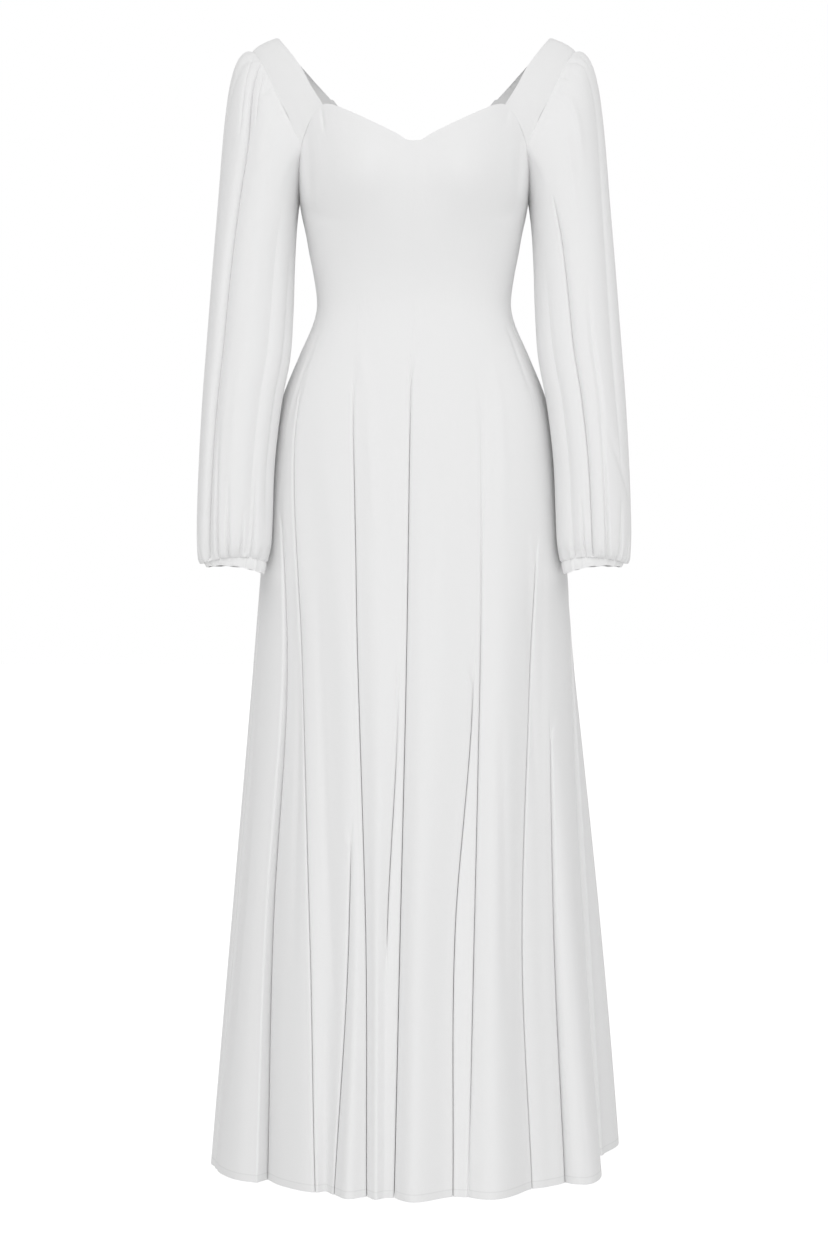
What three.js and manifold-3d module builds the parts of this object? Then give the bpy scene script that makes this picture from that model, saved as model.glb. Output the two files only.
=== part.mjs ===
// A floor-length gown: a sweetheart neckline, wide-set straps, full sleeves gathered at cap and cuff.
// It stands filled out and empty, as it hangs on a wearer: every panel is a thin wall round an open hollow.
// Millimetres. +Z is up, -Y is the front of the gown and +X is the wearer's left. The origin lies midway
// between the tops of the two straps, so every level below is given as a distance down from there.
import * as THREE from "three";
import { mergeVertices } from "three/addons/utils/BufferGeometryUtils.js";
import Module from "manifold-3d";

// ---- Driving dimensions ----
const GOWN_LENGTH = 1436; // strap top to hem
const WALL = 1.5; // cloth wall
const MITRE_LIMIT = 0.6; // keeps the inner face's corners behind sharp folds short
const SEAM_GAP = 0.36; // between two pieces at a seam
const STRAP_GAP = 0.8; // round a strap and at the armhole, where the walls meet at an angle
const YOKE_DEPTH = 260; // below this level the rows of points lie level
const CHEST_LEVEL = 100; // where the tables of fold lines start

// Levels at which the fold lines' angles are given.
const LEVELS = { top: CHEST_LEVEL, waist: 342, hip: 480, thigh: 780, knee: 1120, hem: GOWN_LENGTH };

// The gown's level sections without its folds: half the width, and how far the front and the back stand
// from the middle plane. corner squares the section off, as 0 is a plain ellipse.
const SECTIONS = [
  { down: 60, halfWidth: 146, front: 100, back: 97, corner: 0.14 },
  { down: 100, halfWidth: 147, front: 106, back: 100, corner: 0.14 },
  { down: 145, halfWidth: 146, front: 112, back: 103, corner: 0.13 },
  { down: 190, halfWidth: 144.5, front: 115, back: 103, corner: 0.12 },
  { down: 230, halfWidth: 141, front: 109, back: 100, corner: 0.11 },
  { down: 270, halfWidth: 135, front: 99, back: 93, corner: 0.1 },
  { down: 309, halfWidth: 127.5, front: 89.5, back: 85, corner: 0.08 },
  { down: 342, halfWidth: 124, front: 86, back: 82, corner: 0.07 },
  { down: 366, halfWidth: 129, front: 88, back: 86, corner: 0.06 },
  { down: 405, halfWidth: 146, front: 95, back: 98, corner: 0.05 },
  { down: 462, halfWidth: 169, front: 107, back: 117, corner: 0.04 },
  { down: 514, halfWidth: 180.5, front: 118, back: 130, corner: 0.03 },
  { down: 590, halfWidth: 189, front: 132, back: 143, corner: 0.02 },
  { down: 684, halfWidth: 196, front: 146, back: 157, corner: 0.01 },
  { down: 847, halfWidth: 209, front: 173, back: 183, corner: 0 },
  { down: 1039, halfWidth: 225, front: 202, back: 210, corner: 0 },
  { down: 1231, halfWidth: 241, front: 226, back: 232, corner: 0 },
  { down: GOWN_LENGTH, halfWidth: 258, front: 247, back: 252, corner: 0 },
];

// The two cups, as one swell of the front on each side of the middle.
const CUP = { side: 70, down: 190, swell: 15, halfWidth: 40, halfHeight: 50 };

// The bodice's top edge on the wearer's left, from centre front (0 degrees) to centre back (180):
// the neckline, the seam to the strap, the armhole, the seam to the strap again and the back neckline.
const TOP_EDGE = [
  { angle: 0, x: 0, y: -112, down: 150 },
  { angle: 10, x: 23, y: -111, down: 139.5 },
  { angle: 25, x: 59, y: -105, down: 121 },
  { angle: 36, x: 87, y: -95, down: 107 },
  { angle: 42, x: 103, y: -87, down: 100 },
  { angle: 46, x: 114, y: -80, down: 99 },
  { angle: 52, x: 125, y: -74, down: 109 },
  { angle: 60, x: 135, y: -67, down: 127 },
  { angle: 68, x: 142, y: -58, down: 148 },
  { angle: 75, x: 145, y: -46, down: 170 },
  { angle: 82, x: 146, y: -27, down: 195 },
  { angle: 90, x: 146, y: 0, down: 211 },
  { angle: 98, x: 146, y: 29, down: 196 },
  { angle: 106, x: 145, y: 49, down: 166 },
  { angle: 113, x: 141, y: 61, down: 136 },
  { angle: 120, x: 132, y: 70, down: 108 },
  { angle: 127, x: 120, y: 78, down: 82 },
  { angle: 133, x: 109, y: 84, down: 63 },
  { angle: 138, x: 100, y: 88, down: 70 },
  { angle: 149, x: 74, y: 95, down: 96 },
  { angle: 161, x: 44, y: 100, down: 124 },
  { angle: 172, x: 18, y: 102, down: 148 },
  { angle: 180, x: 0, y: 102.5, down: 160 },
];
// Where the strap starts and ends on that edge.
const STRAP_FRONT = { inner: 46, outer: 68 };
const STRAP_BACK = { inner: 133, outer: 113 };

// The strap's neckline edge and armhole edge on the wearer's left, front to back over the shoulder.
const STRAP_NECK_EDGE = [
  { x: 128, y: -73, down: 76 },
  { x: 143, y: -55, down: 46 },
  { x: 159, y: -30, down: 21 },
  { x: 170.5, y: -7, down: 4 },
  { x: 173, y: 9, down: -1.2 },
  { x: 166, y: 28, down: 7 },
  { x: 148, y: 50, down: 24 },
  { x: 127, y: 70, down: 45 },
];
const STRAP_ARM_EDGE = [
  { x: 151, y: -61, down: 130 },
  { x: 158, y: -60, down: 111 },
  { x: 170, y: -54, down: 88 },
  { x: 182, y: -42, down: 62 },
  { x: 195.5, y: -22, down: 33 },
  { x: 207, y: 5, down: 16 },
  { x: 197, y: 30, down: 32 },
  { x: 183, y: 51, down: 60 },
  { x: 168, y: 63, down: 90 },
  { x: 153, y: 67, down: 116 },
];

// Fold lines of the skirt, round from centre front to the wearer's left and back. Each is a valley that
// follows the given angles down the gown. It opens at the level open and is knee deep, then hem deep, at
// those levels. left and right are its sides' widths in degrees. crest is the swell of the cloth between
// it and the next line, at the hem, and peak is where that swell is highest, as a share of the way there.
// A line with a seam parts two panels.
const FOLD_LINES = [
  { seam: "centre_front", top: 0, waist: -0.5, hip: -1.4, thigh: -2.5, knee: -4.1, hemline: -5.3,
    open: 400, knee_depth: 24, hem_depth: 42, left: 2, right: 2, crest: 20, peak: 0.3 },
  { top: 22, waist: 17, hip: 15, thigh: 21, knee: 12.5, hemline: 10.5,
    open: 790, knee_depth: 28, hem_depth: 52, left: 2.5, right: 1.8, crest: 0, peak: 0.5 },
  { seam: "princess_front_left", top: 46, waist: 34, hip: 28, thigh: 23.7, knee: 18.5, hemline: 14.6,
    open: 430, knee_depth: 9, hem_depth: 2, left: 2.5, right: 2.5, crest: 20, peak: 0.36 },
  { top: 60, waist: 60, hip: 60, thigh: 46.4, knee: 35.7, hemline: 35.3,
    open: 640, knee_depth: 34, hem_depth: 72, left: 3, right: 2, crest: -8, peak: 0.5 },
  { top: 76, waist: 72, hip: 68, thigh: 57, knee: 50.1, hemline: 49.3,
    open: 860, knee_depth: 22, hem_depth: 50, left: 2, right: 1.3, crest: 24, peak: 0.12 },
  { seam: "side_left", top: 90, waist: 90, hip: 90, thigh: 90, knee: 94, hemline: 98,
    open: 700, knee_depth: 28, hem_depth: 60, left: 24, right: 5, crest: 52, peak: 0.5 },
  { top: 112, waist: 114, hip: 116, thigh: 122, knee: 129, hemline: 136,
    open: 700, knee_depth: 20, hem_depth: 44, left: 4, right: 3, crest: 4, peak: 0.5 },
  { seam: "princess_back_left", top: 133, waist: 146, hip: 150, thigh: 151, knee: 152, hemline: 153,
    open: 470, knee_depth: 22, hem_depth: 40, left: 2.5, right: 3, crest: 6, peak: 0.4 },
  { top: 157, waist: 163, hip: 165, thigh: 167, knee: 168, hemline: 167,
    open: 860, knee_depth: 12, hem_depth: 32, left: 3, right: 2, crest: 2, peak: 0.5 },
  { seam: "centre_back", top: 180, waist: 180, hip: 180, thigh: 180, knee: 180.5, hemline: 181,
    open: 520, knee_depth: 22, hem_depth: 42, left: 2.4, right: 2.4, crest: 10, peak: 0.6 },
  { top: 203, waist: 197, hip: 195, thigh: 194, knee: 195, hemline: 200,
    open: 800, knee_depth: 14, hem_depth: 36, left: 2, right: 3, crest: 0, peak: 0.5 },
  { seam: "princess_back_right", top: 227, waist: 214, hip: 210, thigh: 209, knee: 211, hemline: 215,
    open: 470, knee_depth: 22, hem_depth: 42, left: 3, right: 2.4, crest: 8, peak: 0.6 },
  { top: 242, waist: 238, hip: 236, thigh: 233, knee: 234, hemline: 237,
    open: 840, knee_depth: 14, hem_depth: 36, left: 3, right: 2.4, crest: 2, peak: 0.5 },
  { top: 257, waist: 256, hip: 254, thigh: 252, knee: 253, hemline: 255,
    open: 640, knee_depth: 20, hem_depth: 38, left: 3, right: 3, crest: 4, peak: 0.4 },
  { seam: "side_right", top: 270, waist: 270, hip: 270, thigh: 269, knee: 268, hemline: 269,
    open: 760, knee_depth: 5, hem_depth: 8, left: 3, right: 2, crest: 2, peak: 0.5 },
  { top: 279, waist: 279, hip: 280, thigh: 281, knee: 281, hemline: 280,
    open: 700, knee_depth: 6, hem_depth: 8, left: 1.6, right: 3, crest: 0, peak: 0.5 },
  { top: 289, waist: 288, hip: 292, thigh: 306.6, knee: 306.1, hemline: 309.5,
    open: 600, knee_depth: 34, hem_depth: 60, left: 2.6, right: 8, crest: -6, peak: 0.6 },
  { top: 300, waist: 300, hip: 303, thigh: 315.6, knee: 326, hemline: 331.8,
    open: 440, knee_depth: 18, hem_depth: 36, left: 2.4, right: 2, crest: -14, peak: 0.5 },
  { top: 308, waist: 316, hip: 322, thigh: 337, knee: 340, hemline: 337.8,
    open: 990, knee_depth: 12, hem_depth: 34, left: 2, right: 1.8, crest: 14, peak: 0.45 },
  { seam: "princess_front_right", top: 314, waist: 327, hip: 335, thigh: 340, knee: 345.3, hemline: 347.2,
    open: 430, knee_depth: 20, hem_depth: 38, left: 2, right: 1.6, crest: 30, peak: 0.5 },
  { top: 338, waist: 343, hip: 347, thigh: 354.6, knee: 352, hemline: 352.2,
    open: 790, close: 1180, knee_depth: 14, hem_depth: 8, left: 1.6, right: 2.4, crest: 0, peak: 0.5 },
];
const LINE_CLOSING = 130; // length over which a line that has a level close dies away above it
// The panels between those seams, in the same order.
const PANELS = ["front_centre_left", "front_side_left", "back_side_left", "back_centre_left",
  "back_centre_right", "back_side_right", "front_side_right", "front_centre_right"];

// The sleeve's rings from the armhole down, on the wearer's left: the ring's outermost and innermost
// points, the middle's place front to back, half its depth, and how far its front and back lie towards
// the shoulder, or above, from a flat ring.
const SLEEVE_RINGS = [
  { outX: 207, outDown: 17, inX: 146, inDown: 212, midY: 0, halfDepth: 62, saddle: 25 },
  { outX: 218.5, outDown: 20, inX: 147.2, inDown: 219, midY: -1, halfDepth: 66, saddle: 22 },
  { outX: 228.5, outDown: 34, inX: 148.2, inDown: 227, midY: -2, halfDepth: 68, saddle: 17 },
  { outX: 236, outDown: 62, inX: 149, inDown: 237, midY: -3, halfDepth: 69, saddle: 12 },
  { outX: 241, outDown: 100, inX: 149.8, inDown: 251, midY: -5, halfDepth: 68, saddle: 8 },
  { outX: 245, outDown: 145, inX: 150.5, inDown: 270, midY: -8, halfDepth: 65, saddle: 5 },
  { outX: 250, outDown: 215, inX: 151.5, inDown: 302, midY: -14, halfDepth: 62, saddle: 2 },
  { outX: 256.3, outDown: 300, inX: 152.5, inDown: 352, midY: -24, halfDepth: 61, saddle: 0 },
  { outX: 262.5, outDown: 392, inX: 156, inDown: 412, midY: -36, halfDepth: 61, saddle: 0 },
  { outX: 267.5, outDown: 470, inX: 166.5, inDown: 472, midY: -47, halfDepth: 61, saddle: 0 },
  { outX: 271, outDown: 550, inX: 174.5, inDown: 545, midY: -58, halfDepth: 59, saddle: 0 },
  { outX: 272.8, outDown: 615, inX: 177, inDown: 610, midY: -64, halfDepth: 56, saddle: 0 },
  { outX: 272.6, outDown: 650, inX: 178.5, inDown: 645, midY: -66, halfDepth: 53, saddle: 0 },
  { outX: 270.5, outDown: 667, inX: 181.5, inDown: 659, midY: -67, halfDepth: 48, saddle: 2 },
  { outX: 266.5, outDown: 673.5, inX: 184.6, inDown: 667, midY: -67.5, halfDepth: 41.5, saddle: 4 },
  { outX: 264, outDown: 669.5, inX: 185.6, inDown: 671, midY: -67.5, halfDepth: 37.5, saddle: 5 },
];
// The cuff's rings, likewise. Its top meets the sleeve's last ring.
const CUFF_RINGS = [
  { outX: 261.9, outDown: 662, inX: 187.8, inDown: 664, midY: -67.5, halfDepth: 35.2, saddle: 5 },
  { outX: 261.9, outDown: 670, inX: 187.8, inDown: 675, midY: -67.5, halfDepth: 35.2, saddle: 5 },
  { outX: 260.5, outDown: 678, inX: 188.8, inDown: 686.5, midY: -67.5, halfDepth: 34, saddle: 5 },
];

// Long folds of each sleeve: their angles round the ring at five even steps from cap to wrist, with 0 the
// outside and 90 the front, their depth, and the share of the sleeve's length where they open and close.
const SLEEVE_FOLDS = {
  right: [
    { angles: [34, 66, 50, 42, 38], depth: 9, opens: 0.01, closes: 0.93, left: 5, right: 16 },
    { angles: [128, 126, 122, 119, 106], depth: 5, opens: 0.25, closes: 0.93, left: 12, right: 8 },
    { angles: [150, 150, 152, 150, 150], depth: 4, opens: 0.3, closes: 0.8, left: 6, right: 9 },
    { angles: [205, 208, 212, 216, 220], depth: 8, opens: 0.15, closes: 0.93, left: 10, right: 14 },
    { angles: [262, 260, 258, 260, 262], depth: 7, opens: 0.2, closes: 0.93, left: 12, right: 8 },
    { angles: [318, 320, 322, 320, 318], depth: 8, opens: 0.04, closes: 0.93, left: 14, right: 7 },
  ],
  left: [
    { angles: [12, 28, 40, 42, 42], depth: 4, opens: 0.05, closes: 0.7, left: 6, right: 14 },
    { angles: [110, 106, 92, 95, 93], depth: 7, opens: 0.18, closes: 0.93, left: 6, right: 15 },
    { angles: [140, 138, 136, 132, 124], depth: 5, opens: 0.35, closes: 0.93, left: 10, right: 8 },
    { angles: [200, 203, 206, 210, 214], depth: 8, opens: 0.12, closes: 0.93, left: 12, right: 10 },
    { angles: [250, 256, 262, 265, 268], depth: 7, opens: 0.22, closes: 0.93, left: 8, right: 12 },
    { angles: [322, 318, 314, 318, 322], depth: 8, opens: 0.05, closes: 0.93, left: 12, right: 8 },
  ],
};
const SLEEVE_FOLD_END = 0.12; // share of the sleeve's length over which a fold dies away
const GATHERS = 16; // pleats round the cap's top and round the wrist
const CAP_GATHER = { depth: 2, spread: 62, fades: 0.13 };
const WRIST_GATHER = { depth: 2.6, fades: 0.12, sewn: 0.96 };
const CUFF_PUCKER = 0.9;

// Concealed zip down the centre back, its slider, and the pull tab that swings on it.
const ZIP = { top: 168, bottom: 470, tapeWidth: 20, tape: 1, bend: 0.4, gap: 0.5 };
const SLIDER = { width: 6, height: 9, base: 1.2, earThick: 0.9, down: 176 };
const PIN = { radius: 0.6, standoff: 2.1 };
const TAB = { eye: 1.5, bore: 0.95, width: 2.8, length: 19, tipWidth: 5, thick: 1 };

// How finely the walls are cut into faces.
const YOKE_ROWS = 6;
const SKIRT_ROWS = 13;
const DEGREES_PER_COLUMN = 4.8;
const SLEEVE_COLUMNS = 32;
const SLEEVE_ROWS = 19;
const CUFF_ROWS = 2;
const STRAP_ROWS = 12;
const STRAP_COLUMNS = 6;

// ---- Curves through the tables ----
const lerp = THREE.MathUtils.lerp;
const clamp = THREE.MathUtils.clamp;
const radians = THREE.MathUtils.degToRad;
const ease = (share) => share * share * (3 - 2 * share);

// The value of one column at a place along a table, on a smooth curve through its rows.
function alongTable(rows, along, column, place) {
  const last = rows.length - 1;
  let i = 0;
  while (i < last - 1 && place > rows[i + 1][along]) i += 1;
  const slope = (j) => {
    const before = rows[Math.max(j - 1, 0)];
    const after = rows[Math.min(j + 1, last)];
    return (after[column] - before[column]) / (after[along] - before[along]);
  };
  const span = rows[i + 1][along] - rows[i][along];
  const s = clamp((place - rows[i][along]) / span, 0, 1);
  const rise = s * s * (3 - 2 * s);
  return rows[i][column] * (1 - rise) + rows[i + 1][column] * rise
    + span * s * (1 - s) * ((1 - s) * slope(i) - s * slope(i + 1));
}

// ---- The gown's body ----
// A point of the section at a level, with no folds; angle 0 is the front and 90 the wearer's left.
function sectionPoint(angle, down) {
  const at = (column) => alongTable(SECTIONS, "down", column, down);
  const sine = Math.sin(radians(angle));
  const cosine = Math.cos(radians(angle));
  const corner = at("corner");
  const x = at("halfWidth") * sine * (1 + corner * cosine * cosine);
  const reach = cosine > 0 ? at("front") : at("back");
  let y = -reach * cosine * (1 + corner * sine * sine);
  if (cosine > 0) {
    const up = ((down - CUP.down) / CUP.halfHeight) ** 2;
    for (const side of [-CUP.side, CUP.side])
      y -= CUP.swell * Math.exp(-(((x - side) / CUP.halfWidth) ** 2) - up);
  }
  return new THREE.Vector3(x, y, -down);
}

// The bodice's top edge at an angle, on either side.
function topEdge(angle) {
  const turned = THREE.MathUtils.euclideanModulo(angle + 180, 360) - 180;
  const at = (column) => alongTable(TOP_EDGE, "angle", column, Math.abs(turned));
  return new THREE.Vector3(Math.sign(turned) * at("x"), at("y"), -at("down"));
}

const LEVEL_COLUMNS = [["top", "top"], ["waist", "waist"], ["hip", "hip"], ["thigh", "thigh"],
  ["knee", "knee"], ["hem", "hemline"]];
const LINE_PATHS = FOLD_LINES.map((line) =>
  LEVEL_COLUMNS.map(([level, column]) => ({ down: LEVELS[level], angle: line[column] })));

// A fold line's angle at a level. Lines are counted round and round, a turn adding 360 degrees.
function lineAngle(index, down) {
  const turns = Math.floor(index / FOLD_LINES.length);
  const path = LINE_PATHS[index - turns * FOLD_LINES.length];
  return alongTable(path, "down", "angle", down) + 360 * turns;
}

// How deep a line's valley is at a level: none above where it opens, knee deep, then hem deep.
function valleyDepth(line, down) {
  if (down <= line.open) return 0;
  const kept = line.close ? ease(clamp((line.close - down) / LINE_CLOSING, 0, 1)) : 1;
  if (down < LEVELS.knee)
    return kept * line.knee_depth * ((down - line.open) / (LEVELS.knee - line.open)) ** 1.15;
  return kept * lerp(line.knee_depth, line.hem_depth, (down - LEVELS.knee) / (LEVELS.hem - LEVELS.knee));
}

// How far the cloth stands out of the plain section, negative in a valley. track counts fold lines, with
// its fraction the share of the way to the next one.
function foldOffset(track, angle, down) {
  const count = FOLD_LINES.length;
  let out = 0;
  for (let i = 0; i < count; i += 1) {
    const line = FOLD_LINES[i];
    const depth = valleyDepth(line, down);
    if (depth === 0) continue;
    const off = THREE.MathUtils.euclideanModulo(angle - lineAngle(i, down) + 180, 360) - 180;
    const across = off / (off < 0 ? line.left : line.right);
    out -= depth * Math.exp(0.25 - Math.hypot(across, 0.25));
  }
  const index = Math.floor(track);
  const line = FOLD_LINES[THREE.MathUtils.euclideanModulo(index, count)];
  const grown = clamp((down - line.open) / (LEVELS.hem - line.open), 0, 1);
  const share = (track - index) ** (Math.log(0.5) / Math.log(line.peak));
  return out + line.crest * grown * Math.sin(Math.PI * share) ** 2;
}

// The way that a fold moves the cloth out: forwards on the front, sideways at the sides, backwards behind.
function foldDirection(angle) {
  const turned = THREE.MathUtils.euclideanModulo(angle + 180, 360) - 180;
  const front = Math.abs(turned) < 90;
  const fromMiddle = front ? Math.abs(turned) : 180 - Math.abs(turned);
  const swing = radians(fromMiddle ** 2 / 90);
  return new THREE.Vector3(Math.sign(turned) * Math.sin(swing), (front ? -1 : 1) * Math.cos(swing), 0);
}

// The angle at a level of a track, which counts fold lines and is part of the way from one to the next.
function trackAngle(track, down) {
  const index = Math.floor(track);
  return lerp(lineAngle(index, down), lineAngle(index + 1, down), track - index);
}

// A point of the gown's outer face. row runs from 0 at the top edge to 1 at the yoke's foot and 2 at
// the hem.
function bodyPoint(track, row) {
  const inYoke = row < 1;
  const pathLevel = inYoke ? lerp(CHEST_LEVEL, YOKE_DEPTH, row) : lerp(YOKE_DEPTH, GOWN_LENGTH, row - 1);
  const angle = trackAngle(track, pathLevel);
  const edge = topEdge(trackAngle(track, CHEST_LEVEL));
  const down = inYoke ? lerp(-edge.z, YOKE_DEPTH, row) : pathLevel;
  const point = sectionPoint(angle, down);
  if (inYoke) {
    const pull = edge.sub(sectionPoint(trackAngle(track, CHEST_LEVEL), -edge.z));
    point.addScaledVector(pull, 1 - ease(row));
  }
  if (!inYoke) point.addScaledVector(foldDirection(angle), foldOffset(track, angle, down));
  return point;
}

// ---- Walls ----
// The inner face of a wall from its outer face's grid of points. facing is 1 where the outside is on the
// left of the way down the grid, and outAt may give the outward direction of some points itself.
function innerFace(outer, closed, facing, outAt) {
  const last = outer.length - 1;
  return outer.map((row, r) => row.map((point, c) => {
    const given = outAt(r, c);
    if (given) return point.clone().addScaledVector(given, -WALL);
    const down = outer[Math.min(r + 1, last)][c].clone().sub(outer[Math.max(r - 1, 0)][c]);
    const before = closed ? row.at(c - 1) : row[c - 1];
    const after = closed ? row[(c + 1) % row.length] : row[c + 1];
    const sides = [];
    if (before) sides.push(point.clone().sub(before).normalize());
    if (after) sides.push(after.clone().sub(point).normalize());
    const normals = sides.map((side) => down.clone().cross(side).normalize());
    const out = normals.reduce((sum, normal) => sum.add(normal), new THREE.Vector3()).normalize();
    const mitre = 1 / Math.max(out.dot(normals[0]), MITRE_LIMIT);
    return point.clone().addScaledVector(out, -facing * WALL * mitre);
  }));
}

// Faces of a grid of points, rows by columns; a closed grid joins its last column to its first.
function gridFaces(faces, rows, columns, at, closed, flip) {
  const lastColumn = closed ? columns : columns - 1;
  for (let r = 0; r < rows - 1; r += 1)
    for (let c = 0; c < lastColumn; c += 1) {
      const next = (c + 1) % columns;
      const corners = [at(r, c), at(r + 1, c), at(r + 1, next), at(r, next)];
      const order = flip ? [0, 2, 1, 0, 3, 2] : [0, 1, 2, 0, 2, 3];
      faces.push(...order.map((corner) => corners[corner]));
    }
}

// A closed wall from two grids of points, outer and inner, with rims along their open edges.
function wallGeometry(outer, inner, closed) {
  const rows = outer.length;
  const columns = outer[0].length;
  const positions = [...outer.flat(), ...inner.flat()].flatMap((p) => [p.x, p.y, p.z]);
  const faces = [];
  const out = (r, c) => r * columns + c;
  const back = (r, c) => (rows + r) * columns + c;
  gridFaces(faces, rows, columns, out, closed, false);
  gridFaces(faces, rows, columns, back, closed, true);
  const rim = (length, at, flip, loop) => gridFaces(faces, 2, length, at, loop, flip);
  rim(columns, (side, c) => (side ? back(0, c) : out(0, c)), true, closed);
  rim(columns, (side, c) => (side ? back(rows - 1, c) : out(rows - 1, c)), false, closed);
  if (!closed) {
    rim(rows, (side, r) => (side ? back(r, 0) : out(r, 0)), false, false);
    rim(rows, (side, r) => (side ? back(r, columns - 1) : out(r, columns - 1)), true, false);
  }
  const geometry = new THREE.BufferGeometry();
  geometry.setAttribute("position", new THREE.Float32BufferAttribute(positions, 3));
  geometry.setIndex(faces);
  if (signedVolume(geometry) < 0) reverseFaces(geometry);
  geometry.computeVertexNormals();
  return geometry;
}

function signedVolume(geometry) {
  const place = geometry.getAttribute("position");
  const corner = (i) => new THREE.Vector3().fromBufferAttribute(place, geometry.index.getX(i));
  let volume = 0;
  for (let i = 0; i < geometry.index.count; i += 3)
    volume += corner(i).dot(corner(i + 1).cross(corner(i + 2))) / 6;
  return volume;
}

function reverseFaces(geometry) {
  const index = geometry.index.array;
  for (let i = 0; i < index.length; i += 3) [index[i + 1], index[i + 2]] = [index[i + 2], index[i + 1]];
}

// The tracks of one panel's columns, closer together beside the fold lines and short of its two seams.
function panelTracks(first, last) {
  const tracks = [];
  for (let index = first; index < last; index += 1) {
    const span = lineAngle(index + 1, GOWN_LENGTH) - lineAngle(index, GOWN_LENGTH);
    const columns = clamp(Math.round(span / DEGREES_PER_COLUMN) + 1, span < 4 ? 2 : 3, 6);
    for (let c = 0; c < columns; c += 1) tracks.push(index + 0.5 - 0.5 * Math.cos((Math.PI * c) / columns));
  }
  return [...tracks, last];
}

// The share of the way from one track to a neighbour that leaves half a seam's gap between two panels.
function panelInset(track, towards, row) {
  const here = bodyPoint(track, row);
  const there = bodyPoint(lerp(track, towards, 0.02), row);
  return (0.02 * SEAM_GAP) / 2 / here.distanceTo(there);
}

// The rows of points of every panel, closer together at the top of the skirt.
function panelRows() {
  const rows = [];
  for (let r = 0; r < YOKE_ROWS; r += 1) rows.push(r / YOKE_ROWS);
  for (let r = 0; r <= SKIRT_ROWS; r += 1) rows.push(1 + (r / SKIRT_ROWS) ** 1.12);
  return rows;
}

function bodyPanel(first, last) {
  const tracks = panelTracks(first, last);
  const end = tracks.length - 1;
  const rows = panelRows();
  const inwards = { 0: tracks[1], [end]: tracks[end - 1] };
  const outer = rows.map((row) => tracks.map((track, c) => {
    if (!(c in inwards)) return bodyPoint(track, row);
    return bodyPoint(lerp(track, inwards[c], panelInset(track, inwards[c], row)), row);
  }));
  const outAt = (r, c) => (r === 0 ? topEdgeOutward(trackAngle(tracks[c], CHEST_LEVEL)) : null);
  return wallGeometry(outer, innerFace(outer, false, 1, outAt), false);
}

// ---- Straps and sleeves ----
// A point between a curve's first and last, by share of its length, through points given as rows.
function curveThrough(points) {
  return new THREE.CatmullRomCurve3(points, false, "centripetal");
}
const rowPoint = (row) => new THREE.Vector3(row.x, row.y, -row.down);
const edgeSpan = (from, to, steps) =>
  Array.from({ length: steps + 1 }, (_, i) => topEdge(lerp(from, to, i / steps)));

const neckEdge = curveThrough([topEdge(STRAP_FRONT.inner), ...STRAP_NECK_EDGE.map(rowPoint),
  topEdge(STRAP_BACK.inner)]);
const armEdge = curveThrough([topEdge(STRAP_FRONT.outer), ...STRAP_ARM_EDGE.map(rowPoint),
  topEdge(STRAP_BACK.outer)]);
// The armhole all round, from the shoulder down the front, under the arm and up the back.
const shoulderShare = 0.5;
const armholeLoop = new THREE.CatmullRomCurve3([
  ...[0, 0.2, 0.4, 0.6, 0.8].map((s) => armEdge.getPointAt(shoulderShare * (1 - s))),
  ...edgeSpan(STRAP_FRONT.outer, STRAP_BACK.outer, 9),
  ...[0.2, 0.4, 0.6, 0.8].map((s) => armEdge.getPointAt(1 - shoulderShare * s)),
], true, "centripetal");
// The way the sleeve leaves the armhole, away from the body.
const armholeOut = new THREE.Vector3(0.955, 0, -0.297);

// The strap's outer face: s runs front to back over the shoulder, v from the neckline to the armhole.
function strapPoint(s, v) {
  const front = topEdge(lerp(STRAP_FRONT.inner, STRAP_FRONT.outer, v));
  const back = topEdge(lerp(STRAP_BACK.inner, STRAP_BACK.outer, v));
  const neck = neckEdge.getPointAt(clamp(s, 0, 1));
  const arm = armEdge.getPointAt(clamp(s, 0, 1));
  const point = neck.clone().lerp(arm, v);
  point.addScaledVector(front.sub(neckEdge.getPointAt(0).lerp(armEdge.getPointAt(0), v)), 1 - s);
  return point.addScaledVector(back.sub(neckEdge.getPointAt(1).lerp(armEdge.getPointAt(1), v)), s);
}

// The outward direction of the bodice at an angle of its top edge, which a strap shares at its seam.
function topEdgeOutward(angle) {
  const near = (turn) => topEdge(angle + turn);
  const along = near(1).sub(near(-1));
  const below = sectionPoint(angle, YOKE_DEPTH).sub(near(0));
  return below.cross(along).normalize();
}

// A strap's gap at a point of its edge: the way into the strap, square to the edge.
function seamStep(inwards, edge, sign) {
  const step = inwards.clone().addScaledVector(edge, -inwards.dot(edge) / edge.lengthSq());
  return step.setLength(sign * STRAP_GAP);
}

function strapSolid() {
  const outer = [];
  for (let r = 0; r <= STRAP_ROWS; r += 1) {
    const s = r / STRAP_ROWS;
    outer.push([]);
    for (let c = 0; c <= STRAP_COLUMNS; c += 1) {
      const v = c / STRAP_COLUMNS;
      const point = strapPoint(s, v);
      const across = strapPoint(s, v + 0.04).sub(strapPoint(s, v - 0.04));
      const along = strapPoint(Math.min(s + 0.04, 1), v).sub(strapPoint(Math.max(s - 0.04, 0), v));
      if (r === 0) point.add(seamStep(along, across, 1));
      if (r === STRAP_ROWS) point.add(seamStep(along, across, -1));
      if (c === STRAP_COLUMNS) point.add(seamStep(across, along, -1));
      outer[r].push(point);
    }
  }
  const outAt = (r, c) => {
    const v = c / STRAP_COLUMNS;
    if (r === 0) return topEdgeOutward(lerp(STRAP_FRONT.inner, STRAP_FRONT.outer, v));
    if (r === STRAP_ROWS) return topEdgeOutward(lerp(STRAP_BACK.inner, STRAP_BACK.outer, v));
    return null;
  };
  return wallGeometry(outer, innerFace(outer, false, -1, outAt), false);
}

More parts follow.
